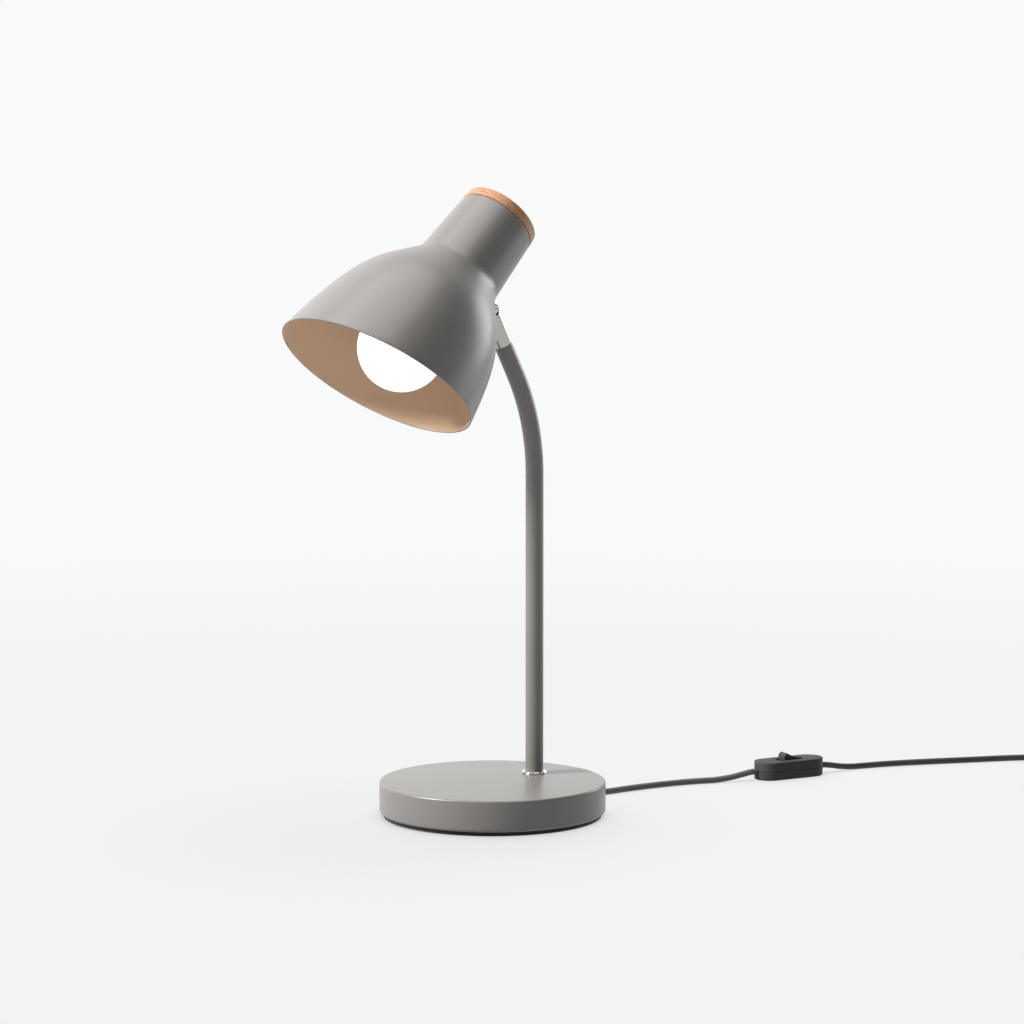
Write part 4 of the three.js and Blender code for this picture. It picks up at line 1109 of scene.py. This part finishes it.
@dataclass
class Base:
    """The round foot: a pressed cover over an iron weight, on a rubber pad."""

    radius: float = 0.075
    height: float = 0.0235
    wall: float = 0.0015
    top_edge: float = 0.0013
    tuck: float = 0.0022
    cover_foot: float = 0.0026
    pad_radius: float = 0.0724
    pad_top: float = 0.0023
    pole_offset: float = 0.0383
    gland_height: float = 0.007
    boot_length: float = 0.022
    boot_droop: float = 10.5
    boot_radius: float = 0.0038
    collar_bore: float = 0.00615
    collar_radius: float = 0.0084
    collar_top: float = 0.0251

    def cover(self) -> bpy.types.Object:
        """The painted cover, rounded at its top edge and tucked in at its foot."""
        r, h, t = self.radius, self.height, self.tuck
        profile = [
            (0.0, h), *arc((r - self.top_edge, h - self.top_edge), self.top_edge, 90, 0, 8),
            *arc((r - t, self.cover_foot + t), t, 0, -90, 8),
            *arc((r - t, self.cover_foot + t), t - self.wall, -90, 0, 4),
            (r - self.wall, h - self.wall), (0.0, h - self.wall),
        ]
        return piece_of("base_shell", spun(profile, steps=160), PAINT)

    def pad(self) -> bpy.types.Object:
        """The rubber pad, with two shallow rings in its underside."""
        r, t = self.pad_radius, self.pad_top
        groove = [(x + dx, z) for x in (0.050, 0.064)
                  for dx, z in ((0.0, 0.0), (0.0005, 0.0006), (0.0020, 0.0006), (0.0025, 0.0))]
        profile = [(0.0, 0.0), *groove, *arc((r - 0.0004, 0.0004), 0.0004, -90, 0, 4),
                   *arc((r - 0.0002, t - 0.0002), 0.0002, 0, 90, 3), (0.0, t)]
        return piece_of("rubber_foot", spun(profile, steps=160), FOOT_RUBBER)

    def collar(self) -> bpy.types.Object:
        """The bright ring round the foot of the pole."""
        foot, top = self.height + 0.0001, self.collar_top
        inner, outer = self.collar_bore, self.collar_radius
        profile = [(inner, foot), (outer - 0.0002, foot),
                   *arc((outer - 0.0008, foot + 0.0008), 0.0008, -20, 90, 6),
                   *arc((inner + 0.0005, top - 0.0005), 0.0005, 60, 180, 5)]
        mesh = moved(spun(profile, True, 96), Matrix.Translation((0, self.pole_offset, 0)))
        return piece_of("pole_ring", mesh, CHROME)

    def gland(self) -> bpy.types.Object:
        """The strain relief: a plug in the cover's wall and a tapering, slotted boot."""
        r, length = self.boot_radius, self.boot_length
        boot: Profile = [(0.0, 0.0), (r, 0.0), (r, 0.0016)]
        count = 6
        for i in range(count):
            start = 0.0022 + i * 0.0030
            wide = r - 0.0009 * (i + 0.5) / count
            boot += [(wide - 0.0009, start), (wide - 0.0009, start + 0.0009), (wide, start + 0.0012),
                     (wide - 0.0001, start + 0.0027)]
        boot += [(r - 0.0009, length - 0.0006), (r - 0.0013, length), (0.0, length)]
        lean = Matrix.Rotation(-math.pi / 2 - math.radians(self.boot_droop), 4, "X")
        mesh = moved(spun(boot, steps=48), Matrix.Translation((0, 0.0009, 0)), lean)
        neck = moved(rod(r, -0.003, 0.0014, "Z"), Matrix.Rotation(-math.pi / 2, 4, "X"))
        mesh = moved(carved(mesh, (Carve.JOIN, neck)),
                     Matrix.Translation((0, self.radius, self.gland_height)))
        return piece_of("lead_strain_relief", mesh, GREY_SHEATH)

    def build(self) -> None:
        """Makes the base's visible pieces."""
        fit_to(self.cover(), Body.BASE, "shade_and_base_paint", "base_cover")
        fit_to(self.pad(), Body.BASE, "foot_rubber", "foot_pad")
        fit_to(self.collar(), Body.BASE, "chrome_trim", "pole_collar")
        fit_to(self.gland(), Body.BASE, "lead_grey", "cord_gland")

    @staticmethod
    def dress() -> None:
        """Finishes the solids inside."""
        paint_nodes(IRON, "base_weight")
        paint_nodes(ZINC, "stem_tube", "stem_washer", "stem_lock_washer", "stem_nut")


# ---- Arm and its end ----


@dataclass
class Arm:
    """The bent tube, and at its end the sleeve and fork that hold the shade."""

    tube_radius: float = 0.006
    tube_wall: float = 0.0009
    foot: float = 0.0237
    pole_offset: float = 0.0383
    pole_top: float = 0.225
    bend_radius: float = 0.138
    bend_angle: float = 29.0
    tube_end: float = 0.0164
    sleeve_bore: float = 0.0062
    sleeve_radius: float = 0.0068
    sleeve_length: float = 0.0264
    slot_half: float = 0.0023
    slot_depth: float = 0.008
    slit: float = 0.0008
    slit_angle: float = 27.0
    slit_length: float = 0.0144
    washer_room: float = 0.0039
    ear_face: float = 0.0039
    end_height: float = 0.0076
    bolt_hole: float = 0.0017
    bolt_radius: float = 0.0015
    bolt_head: float = 0.0029
    bolt_seat: float = 0.0012
    nut_flats: float = 0.0055
    nut_height: float = 0.0026

    def stations(self) -> list[Matrix]:
        """Places along the arm's centre line, each with its own Z along the tube."""
        places = [Matrix.Translation((0, self.pole_offset, self.foot + (self.pole_top - self.foot) * i / 8))
                  for i in range(8)]
        steps = 24
        for i in range(steps + 1):
            angle = math.radians(self.bend_angle) * i / steps
            at = Vector((0, self.pole_offset - self.bend_radius * (1 - math.cos(angle)),
                         self.pole_top + self.bend_radius * math.sin(angle)))
            places.append(Matrix.Translation(at) @ Matrix.Rotation(angle, 4, "X"))
        places.append(self.end_frame() @ Matrix.Translation((0, 0, -self.tube_end)))
        return places

    def end_frame(self) -> Matrix:
        """The arm's end: the tilt axis is X and the arm comes up along Z."""
        return Matrix.Translation(PIVOT) @ Matrix.Rotation(math.radians(self.bend_angle), 4, "X")

    def tube(self) -> bpy.types.Object:
        """The painted tube, a ring drawn along the arm and given its wall."""
        mesh = bmesh.new()
        places = self.stations()
        bmesh.ops.create_circle(mesh, cap_ends=False, radius=self.tube_radius, segments=64,
                                matrix=places[0])
        edges = mesh.edges[:]
        for before, after in zip(places, places[1:]):
            drawn = bmesh.ops.extrude_edge_only(mesh, edges=edges)["geom"]
            ring = of_kind(drawn, bmesh.types.BMVert)
            inside = set(ring)
            edges = [edge for edge in of_kind(drawn, bmesh.types.BMEdge)
                     if all(corner in inside for corner in edge.verts)]
            bmesh.ops.transform(mesh, matrix=after @ before.inverted(), verts=ring)
        bmesh.ops.recalc_face_normals(mesh, faces=mesh.faces[:])
        bmesh.ops.solidify(mesh, geom=mesh.faces[:], thickness=self.tube_wall)
        bmesh.ops.recalc_face_normals(mesh, faces=mesh.faces[:])
        return piece_of("bent_tube", mesh, PAINT)

    def round_end(self) -> bmesh.types.BMesh:
        """What is kept of the arm's end: all of it below the tilt axis, and a round top above it."""
        radius, wide = self.sleeve_radius - 0.0002, 2 * self.sleeve_radius
        outline = [(-wide, -2 * self.sleeve_length), (wide, -2 * self.sleeve_length), (wide, 0.0),
                   *arc((0, 0), radius, 0, 180, 32), (-wide, 0.0)]
        mesh = slab_of(outline, -wide, wide)
        return moved(mesh, Matrix.Rotation(math.pi / 2, 4, "Z"), Matrix.Rotation(math.pi / 2, 4, "X"))

    def slot(self) -> bmesh.types.BMesh:
        """The fork's slot for the shade's tongue."""
        return box_between((-self.slot_half, -0.02, -self.slot_depth), (self.slot_half, 0.02, 0.02))

    def sleeve(self) -> bpy.types.Object:
        """The nickel sleeve with its clamping slit."""
        inner, outer, low, high = self.sleeve_bore, self.sleeve_radius, -self.sleeve_length, self.end_height
        soft = 0.00022
        profile = [(inner, low + soft), (inner + soft, low),
                   *arc((outer - soft, low + soft), soft, -90, 0, 3), (outer, high), (inner, high)]
        half = self.slit / 2
        slit = moved(box_between((-half, -0.02, low - 0.001), (half, 0.0, low + self.slit_length)),
                     Matrix.Rotation(math.radians(self.slit_angle), 4, "Z"))
        mesh = carved(spun(profile, True, 96), (Carve.KEEP, self.round_end()), (Carve.CUT, self.slot()),
                      (Carve.CUT, slit), (Carve.CUT, rod(self.washer_room, -0.02, 0.02, "X")))
        return piece_of("hinge_sleeve", moved(mesh, self.end_frame()), NICKEL)

    def knuckle(self) -> bpy.types.Object:
        """The forked block inside the sleeve."""
        thick, thin = self.sleeve_bore - 0.0002, self.tube_radius - self.tube_wall - 0.0002
        step = -self.tube_end + 0.0003
        low, high = -0.0244, self.end_height
        profile = [(0.0, low), (thin, low), (thin, step), (thick, step), (thick, high), (0.0, high)]
        mesh = carved(spun(profile, steps=72), (Carve.KEEP, self.round_end()), (Carve.CUT, self.slot()),
                      (Carve.CUT, rod(self.bolt_hole, -0.02, 0.02, "X")),
                      (Carve.CUT, rod(self.washer_room, self.ear_face, 0.02, "X")),
                      (Carve.CUT, rod(self.washer_room, -0.02, -self.ear_face, "X")))
        return piece_of("hinge_fork", moved(mesh, self.end_frame()), NICKEL)

    def across(self, name: str, mesh: bmesh.types.BMesh) -> bpy.types.Object:
        """A plated piece that was made upright, laid along the tilt axis."""
        place = self.end_frame() @ Matrix.Rotation(math.pi / 2, 4, "Y")
        return piece_of(name, moved(mesh, place), ZINC)

    def bolt(self) -> bpy.types.Object:
        """The hinge bolt, with a slotted domed head."""
        foot = self.ear_face + self.bolt_seat
        r, head, tip = self.bolt_radius, self.bolt_head, -foot - 0.004
        profile = [(0.0, tip), (r - 0.0003, tip), (r, tip + 0.0003), (r, foot), (head, foot),
                   (head, foot + 0.0007), *arc((head - 0.0009, foot + 0.0007), 0.0009, 0, 90, 8),
                   (0.0, foot + 0.0016)]
        slot = box_between((-0.0004, -0.006, foot + 0.0008), (0.0004, 0.006, foot + 0.004))
        return self.across("hinge_bolt", carved(spun(profile, steps=56), (Carve.CUT, slot)))

    def nut(self) -> bpy.types.Object:
        """The hexagonal nut at the bolt's other end."""
        near = self.ear_face + self.bolt_seat
        mesh = rod(self.nut_flats / math.sqrt(3), -near - self.nut_height, -near, "Z", 6)
        hole = rod(self.bolt_radius + 0.0001, -0.02, 0.0)
        return self.across("hinge_nut", carved(eased(mesh, 0.0003), (Carve.CUT, hole)))

    def build(self) -> None:
        """Makes the arm's visible pieces."""
        fit_to(self.tube(), Body.BASE, "shade_and_base_paint", "arm_tube")
        fit_to(self.sleeve(), Body.BASE, "nickel_hinge", "ferrule_sleeve")
        fit_to(self.knuckle(), Body.BASE, "nickel_hinge", "arm_knuckle")
        fit_to(self.bolt(), Body.BASE, "zinc_steel", "pivot_bolt")
        fit_to(self.nut(), Body.BASE, "zinc_steel", "pivot_nut")

    @staticmethod
    def dress() -> None:
        """Finishes the washers and the lead inside."""
        paint_nodes(ZINC, "pivot_washer_left", "pivot_washer_right")
        paint_nodes(FIBRE, "friction_washer_left", "friction_washer_right")
        paint_nodes(GREY_SHEATH, "arm_lead")


# ---- Shade ----


@dataclass
class Shade:
    """The spun metal shade, its wooden cap and the rivets that hold the lug."""

    wall: float = 0.001
    neck_top: float = 0.043
    neck_foot: float = -0.0046
    neck_top_radius: float = 0.0268
    neck_foot_radius: float = 0.0296
    axis_gap: float = 0.0072
    bell_depth: float = 0.1035
    bell_radius: float = 0.0682
    bell_spare: float = 0.008
    shoulder_handle: tuple[float, float] = (0.0184, -0.0292)
    rim_handle: tuple[float, float] = (-0.0107, 0.0765)
    blend: float = 0.0045
    rim_depth: float = 0.097
    rim_rake: float = 11.1
    rim_edge: float = 0.00032
    cap_thickness: float = 0.007
    cap_gap: float = 0.0003
    nipple_hole: float = 0.0052
    tongue_half: float = 0.0014
    tongue_low: float = -0.0038
    tongue_high: float = 0.0059
    rivet_heights: tuple[float, float] = (0.0125, 0.0205)
    rivet_radius: float = 0.0015
    rivet_head: float = 0.0027
    rivet_tail: float = 0.0023
    rivet_grip: float = 0.0034

    def neck_radius(self, height: float) -> float:
        """The neck's outer radius at a height over the tilt axis."""
        share = (height - self.neck_foot) / (self.neck_top - self.neck_foot)
        return self.neck_foot_radius + (self.neck_top_radius - self.neck_foot_radius) * share

    @property
    def axis(self) -> float:
        """The shade's own axis lies at this Y in the shade's upright frame."""
        return -(self.neck_radius(0.0) + self.axis_gap)

    def upright(self) -> Matrix:
        """The shade's upright frame, with the tilt axis as X and the mouth down."""
        return Matrix.Translation(PIVOT) @ Matrix.Rotation(-SHADE_TILT, 4, "X")

    def centred(self) -> Matrix:
        """The same frame on the shade's own axis."""
        return self.upright() @ Matrix.Translation((0, self.axis, 0))

    def bell(self, steps: int = 44) -> list[Vector]:
        """Points down the bell's outer side, from the neck's foot to the rim."""
        start = Vector((self.neck_foot_radius, self.neck_foot))
        end = Vector((self.bell_radius, self.neck_foot - self.bell_depth))
        handles = (start, start + Vector(self.shoulder_handle), end + Vector(self.rim_handle), end)
        points = []
        for i in range(steps + 1):
            t = i / steps
            shares = ((1 - t) ** 3, 3 * t * (1 - t) ** 2, 3 * t * t * (1 - t), t ** 3)
            points.append(sum((h * s for h, s in zip(handles, shares)), Vector((0, 0))))
        slope = -self.rim_handle[0] / self.rim_handle[1]
        points.append(end + Vector((slope, -1.0)) * self.bell_spare)
        return points

    def outside(self) -> Profile:
        """The whole outer profile, from the nipple's hole over the neck and down the bell."""
        edge = 0.0009
        top = [(self.nipple_hole, self.neck_top),
               *arc((self.neck_top_radius - edge, self.neck_top - edge), edge, 90, 0, 6)]
        corner = Vector((self.neck_foot_radius, self.neck_foot))
        above = Vector((self.neck_radius(self.neck_foot + self.blend), self.neck_foot + self.blend))
        bell = self.bell()
        below = next(point for point in bell if (point - corner).length > self.blend)
        rest = [point for point in bell if (point - corner).length > self.blend][1:]
        steps = 8
        soft = []
        for i in range(steps + 1):
            t = i / steps
            soft.append(above * (1 - t) ** 2 + corner * (2 * t * (1 - t)) + below * t * t)
        return [*top, *((p.x, p.y) for p in soft), *((p.x, p.y) for p in rest)]

    def shell(self) -> bpy.types.Object:
        """The shell: turned, trimmed at the raked rim, slotted for the tongue and given its wall."""
        mesh = moved(spun(self.outside(), steps=192), Matrix.Translation((0, self.axis, 0)))
        rake = Matrix.Rotation(math.radians(self.rim_rake), 3, "X") @ Vector((0, 0, 1))
        middle = Vector((0, self.axis, -self.rim_depth))
        everything = mesh.verts[:] + mesh.edges[:] + mesh.faces[:]
        bmesh.ops.bisect_plane(mesh, geom=everything, plane_co=middle, plane_no=rake, clear_inner=True)
        self.cut_slot(mesh)
        outer = set(mesh.faces)
        bmesh.ops.solidify(mesh, geom=mesh.faces[:], thickness=self.wall)
        # The inside faces take the lining finish, whose warm tan is partly painted bulb light.
        lining = [face for face in mesh.faces if face not in outer
                  and abs((face.calc_center_median() - middle).dot(rake)) > 0.0002]
        for face in lining:
            face.material_index = 1
        bmesh.ops.recalc_face_normals(mesh, faces=mesh.faces[:])
        on_rim = [edge for edge in mesh.edges
                  if all(abs((v.co - middle).dot(rake)) < 0.0006 for v in edge.verts)
                  and edge.is_manifold and edge.calc_face_angle(0.0) > math.radians(50)]
        rounded(mesh, on_rim, self.rim_edge, 3)
        piece = piece_of("spun_shade", moved(mesh, self.upright()), PAINT)
        piece.data.materials.append(LINING_PARTLY_PAINTED_GLOW.material())
        return piece

    def cut_slot(self, mesh: bmesh.types.BMesh) -> None:
        """Opens the slot in the neck for the lug's tongue.

        Args:
            mesh: the shell before it has a wall.
        """
        near = [face for face in mesh.faces
                if face.calc_center_median().y > self.axis + 0.02 and abs(face.calc_center_median().z) < 0.02]
        cuts = [((self.tongue_half, 0, 0), (1, 0, 0)), ((-self.tongue_half, 0, 0), (-1, 0, 0)),
                ((0, 0, self.tongue_high), (0, 0, 1)), ((0, 0, self.tongue_low), (0, 0, -1))]
        for at, way in cuts:
            edges = {edge for face in near for edge in face.edges}
            corners = {corner for face in near for corner in face.verts}
            cut = bmesh.ops.bisect_plane(mesh, geom=[*near, *edges, *corners], plane_co=at, plane_no=way)
            near = of_kind(cut["geom"], bmesh.types.BMFace)
        gone = [face for face in near if abs(face.calc_center_median().x) < self.tongue_half
                and self.tongue_low < face.calc_center_median().z < self.tongue_high]
        bmesh.ops.delete(mesh, geom=gone, context="FACES")

    def cap(self) -> bpy.types.Object:
        """The turned wooden cap."""
        foot = self.neck_top + self.cap_gap
        top = self.neck_top + self.cap_thickness
        r, edge, soft = self.neck_top_radius, self.neck_top_radius - 0.0004, 0.001
        profile = [(0.0, foot), (r - 0.0003, foot), (r, foot + 0.0003),
                   *arc((edge - soft, top - soft), soft, 0, 90, 6), (0.0, top)]
        return piece_of("turned_cap", moved(spun(profile, steps=160), self.centred()), WOOD)

    def rivet(self, name: str, height: float) -> bpy.types.Object:
        """A domed rivet through the neck's back."""
        face = self.neck_radius(height)
        inner = face - self.wall - self.rivet_grip
        r, tail = self.rivet_radius, self.rivet_tail
        profile = [(0.0, inner), (tail - 0.0004, inner), (tail, inner + 0.0003), (r, inner + 0.001),
                   (r, face), (self.rivet_head, face + 0.0002),
                   *arc((0.0, face - 0.0018), 0.0032, 32, 90, 8)]
        mesh = moved(spun(profile, steps=40), self.centred(), Matrix.Translation((0, 0, height)),
                     Matrix.Rotation(-math.pi / 2, 4, "X"))
        return piece_of(name, mesh, ZINC)

    def build(self) -> None:
        """Makes the shade's visible pieces."""
        fit_to(self.shell(), Body.SHADE, "shade_and_base_paint", "shade_shell")
        fit_to(self.cap(), Body.SHADE, "cap_wood", "wood_cap")
        low, high = self.rivet_heights
        fit_to(self.rivet("rivet_low", low), Body.SHADE, "zinc_steel", "lug_rivet_lower")
        fit_to(self.rivet("rivet_high", high), Body.SHADE, "zinc_steel", "lug_rivet_upper")

    @staticmethod
    def dress() -> None:
        """Finishes the lug, the cap's screws and the lead inside."""
        paint_nodes(ZINC, "shade_lug", "cap_screw_left", "cap_screw_right")
        paint_nodes(GREY_SHEATH, "shade_lead")


# ---- Lampholder and bulb ----


@dataclass
class LampholderAndBulb:
    """The lampholder that hangs in the neck, and the bulb screwed into it."""

    shade: Shade
    globe_radius: float = 0.0285
    globe_wall: float = 0.0012
    globe_depth: float = 0.070
    globe_neck: float = 0.020
    bulb_length: float = 0.061
    cap_radius: float = 0.0131
    cap_length: float = 0.022
    holder_radius: float = 0.0185
    holder_wall: float = 0.0024
    dome_foot: float = 0.0018
    dome_top: float = 0.0184
    dome_bend: float = 0.0075

    @property
    def contact_tip(self) -> float:
        """Height of the bulb's contact."""
        return self.bulb_length - self.globe_depth

    @property
    def cap_foot(self) -> float:
        """Height of the lower edge of the bulb's screw cap."""
        return self.contact_tip - 0.003 - self.cap_length

    def turned(self, name: str, profile: Profile, finish: Finish, ring: bool = False,
               steps: int = 96) -> bpy.types.Object:
        """A profile turned round the shade's own axis, as a piece."""
        return piece_of(name, moved(spun(profile, ring, steps), self.shade.centred()), finish)

    def globe(self) -> bpy.types.Object:
        """The opal globe, open where it meets the collar."""
        r, inner = self.globe_radius, self.globe_radius - self.globe_wall
        ends = [math.degrees(math.asin(self.globe_neck / radius)) for radius in (r, inner)]
        outside = arc((0.0, -self.globe_depth), r, -90, ends[0], 44)
        inside = arc((0.0, -self.globe_depth), inner, ends[1], -90, 32)
        outside[0], inside[-1] = (0.0, outside[0][1]), (0.0, inside[-1][1])
        return self.turned("opal_bulb", [*outside, *inside], OPAL)

    def collar(self) -> bpy.types.Object:
        """The bulb's white collar, narrowing to the screw cap."""
        foot = -self.globe_depth + self.globe_neck + 0.0003
        wide = math.sqrt(self.globe_radius ** 2 - self.globe_neck ** 2)
        top = self.cap_foot - 0.0003
        profile = [(0.0, foot), (wide - 0.0003, foot), (wide, foot + 0.0003),
                   (wide - 0.0008, foot + 0.0035),
                   (self.cap_radius + 0.0030, top - 0.0045), (self.cap_radius + 0.0008, top - 0.0004),
                   (self.cap_radius + 0.0004, top), (0.0, top)]
        return self.turned("bulb_skirt", profile, WHITE_PLASTIC)

    def screw_cap(self) -> bpy.types.Object:
        """The bulb's rolled screw cap."""
        low, high, r = self.cap_foot, self.cap_foot + self.cap_length, self.cap_radius
        outside: Profile = [(r - 0.0004, low)]
        turns = 5
        for i in range(turns * 8):
            height = low + 0.001 + (self.cap_length - 0.0045) * i / (turns * 8)
            outside.append((r - 0.0006 + 0.0006 * math.cos(math.tau * i / 8), height))
        outside += [(r - 0.0004, high - 0.0024), (r - 0.0026, high), (r - 0.0034, high)]
        inside = [(r - 0.0016, high - 0.0026), (r - 0.0016, low)]
        return self.turned("bulb_thread", [*outside, *inside], NICKEL, True, 72)

    def holder_skirt(self) -> bpy.types.Object:
        """The lampholder's lower shell, with a grip of fine rings."""
        low, high = self.cap_foot - 0.0034, self.contact_tip + 0.001
        r, inner = self.holder_radius, self.holder_radius - self.holder_wall
        outside: Profile = [(inner + 0.0004, low), *arc((r - 0.0008, low + 0.0008), 0.0008, -90, 0, 4)]
        for i in range(6):
            start = low + 0.003 + i * 0.0026
            outside += [(r, start), (r - 0.0005, start + 0.0004), (r - 0.0005, start + 0.0009),
                        (r, start + 0.0013)]
        profile = [*outside, (r, high), (inner, high), (inner, low + 0.0004)]
        return self.turned("holder_lower", profile, HOLDER_BLACK, True)

    def holder_dome(self) -> bpy.types.Object:
        """The lampholder's upper shell."""
        foot = self.contact_tip + self.dome_foot
        top = self.contact_tip + self.dome_top
        r, wall, bend = self.holder_radius + 0.001, self.holder_wall, self.dome_bend
        hole = self.shade.nipple_hole
        profile = [
            (r - wall, foot), (r - 0.0004, foot), (r, foot + 0.0004),
            *arc((r - bend, top - bend), bend, 0, 90, 10),
            (0.009, top), (hole, top), (hole, top - wall),
            *arc((r - bend, top - bend), bend - wall, 90, 0, 8),
        ]
        return self.turned("holder_upper", profile, HOLDER_BLACK, True)

    def build(self) -> None:
        """Makes the lampholder's and the bulb's visible pieces."""
        fit_to(self.globe(), Body.BULB, "opal_globe", "bulb_globe")
        fit_to(self.collar(), Body.BULB, "white_plastic", "bulb_collar")
        fit_to(self.screw_cap(), Body.BULB, "nickel_hinge", "bulb_screw_cap")
        fit_to(self.holder_skirt(), Body.SHADE, "holder_black", "holder_skirt")
        fit_to(self.holder_dome(), Body.SHADE, "holder_black", "holder_dome")

    @staticmethod
    def dress() -> None:
        """Finishes the solids inside the lampholder and the bulb."""
        paint_nodes(ZINC, "holder_nipple", "nipple_nut_upper", "nipple_washer", "nipple_nut_lower")
        paint_nodes(WHITE_PLASTIC, "holder_insert", "bulb_led_board")
        paint_nodes(BRASS, "holder_thread", "holder_contact", "bulb_contact")
        paint_nodes(HOLDER_BLACK, "bulb_insulator")


def main() -> None:
    """Makes the studio and the lamp."""
    logging.basicConfig(level=logging.INFO, format="%(message)s")
    Studio().build()
    Lead().build(InlineSwitch().build())
    shade = Shade()
    for assembly in (Base(), Arm(), shade, LampholderAndBulb(shade)):
        assembly.build()
        assembly.dress()


if __name__ == "__main__":
    main()
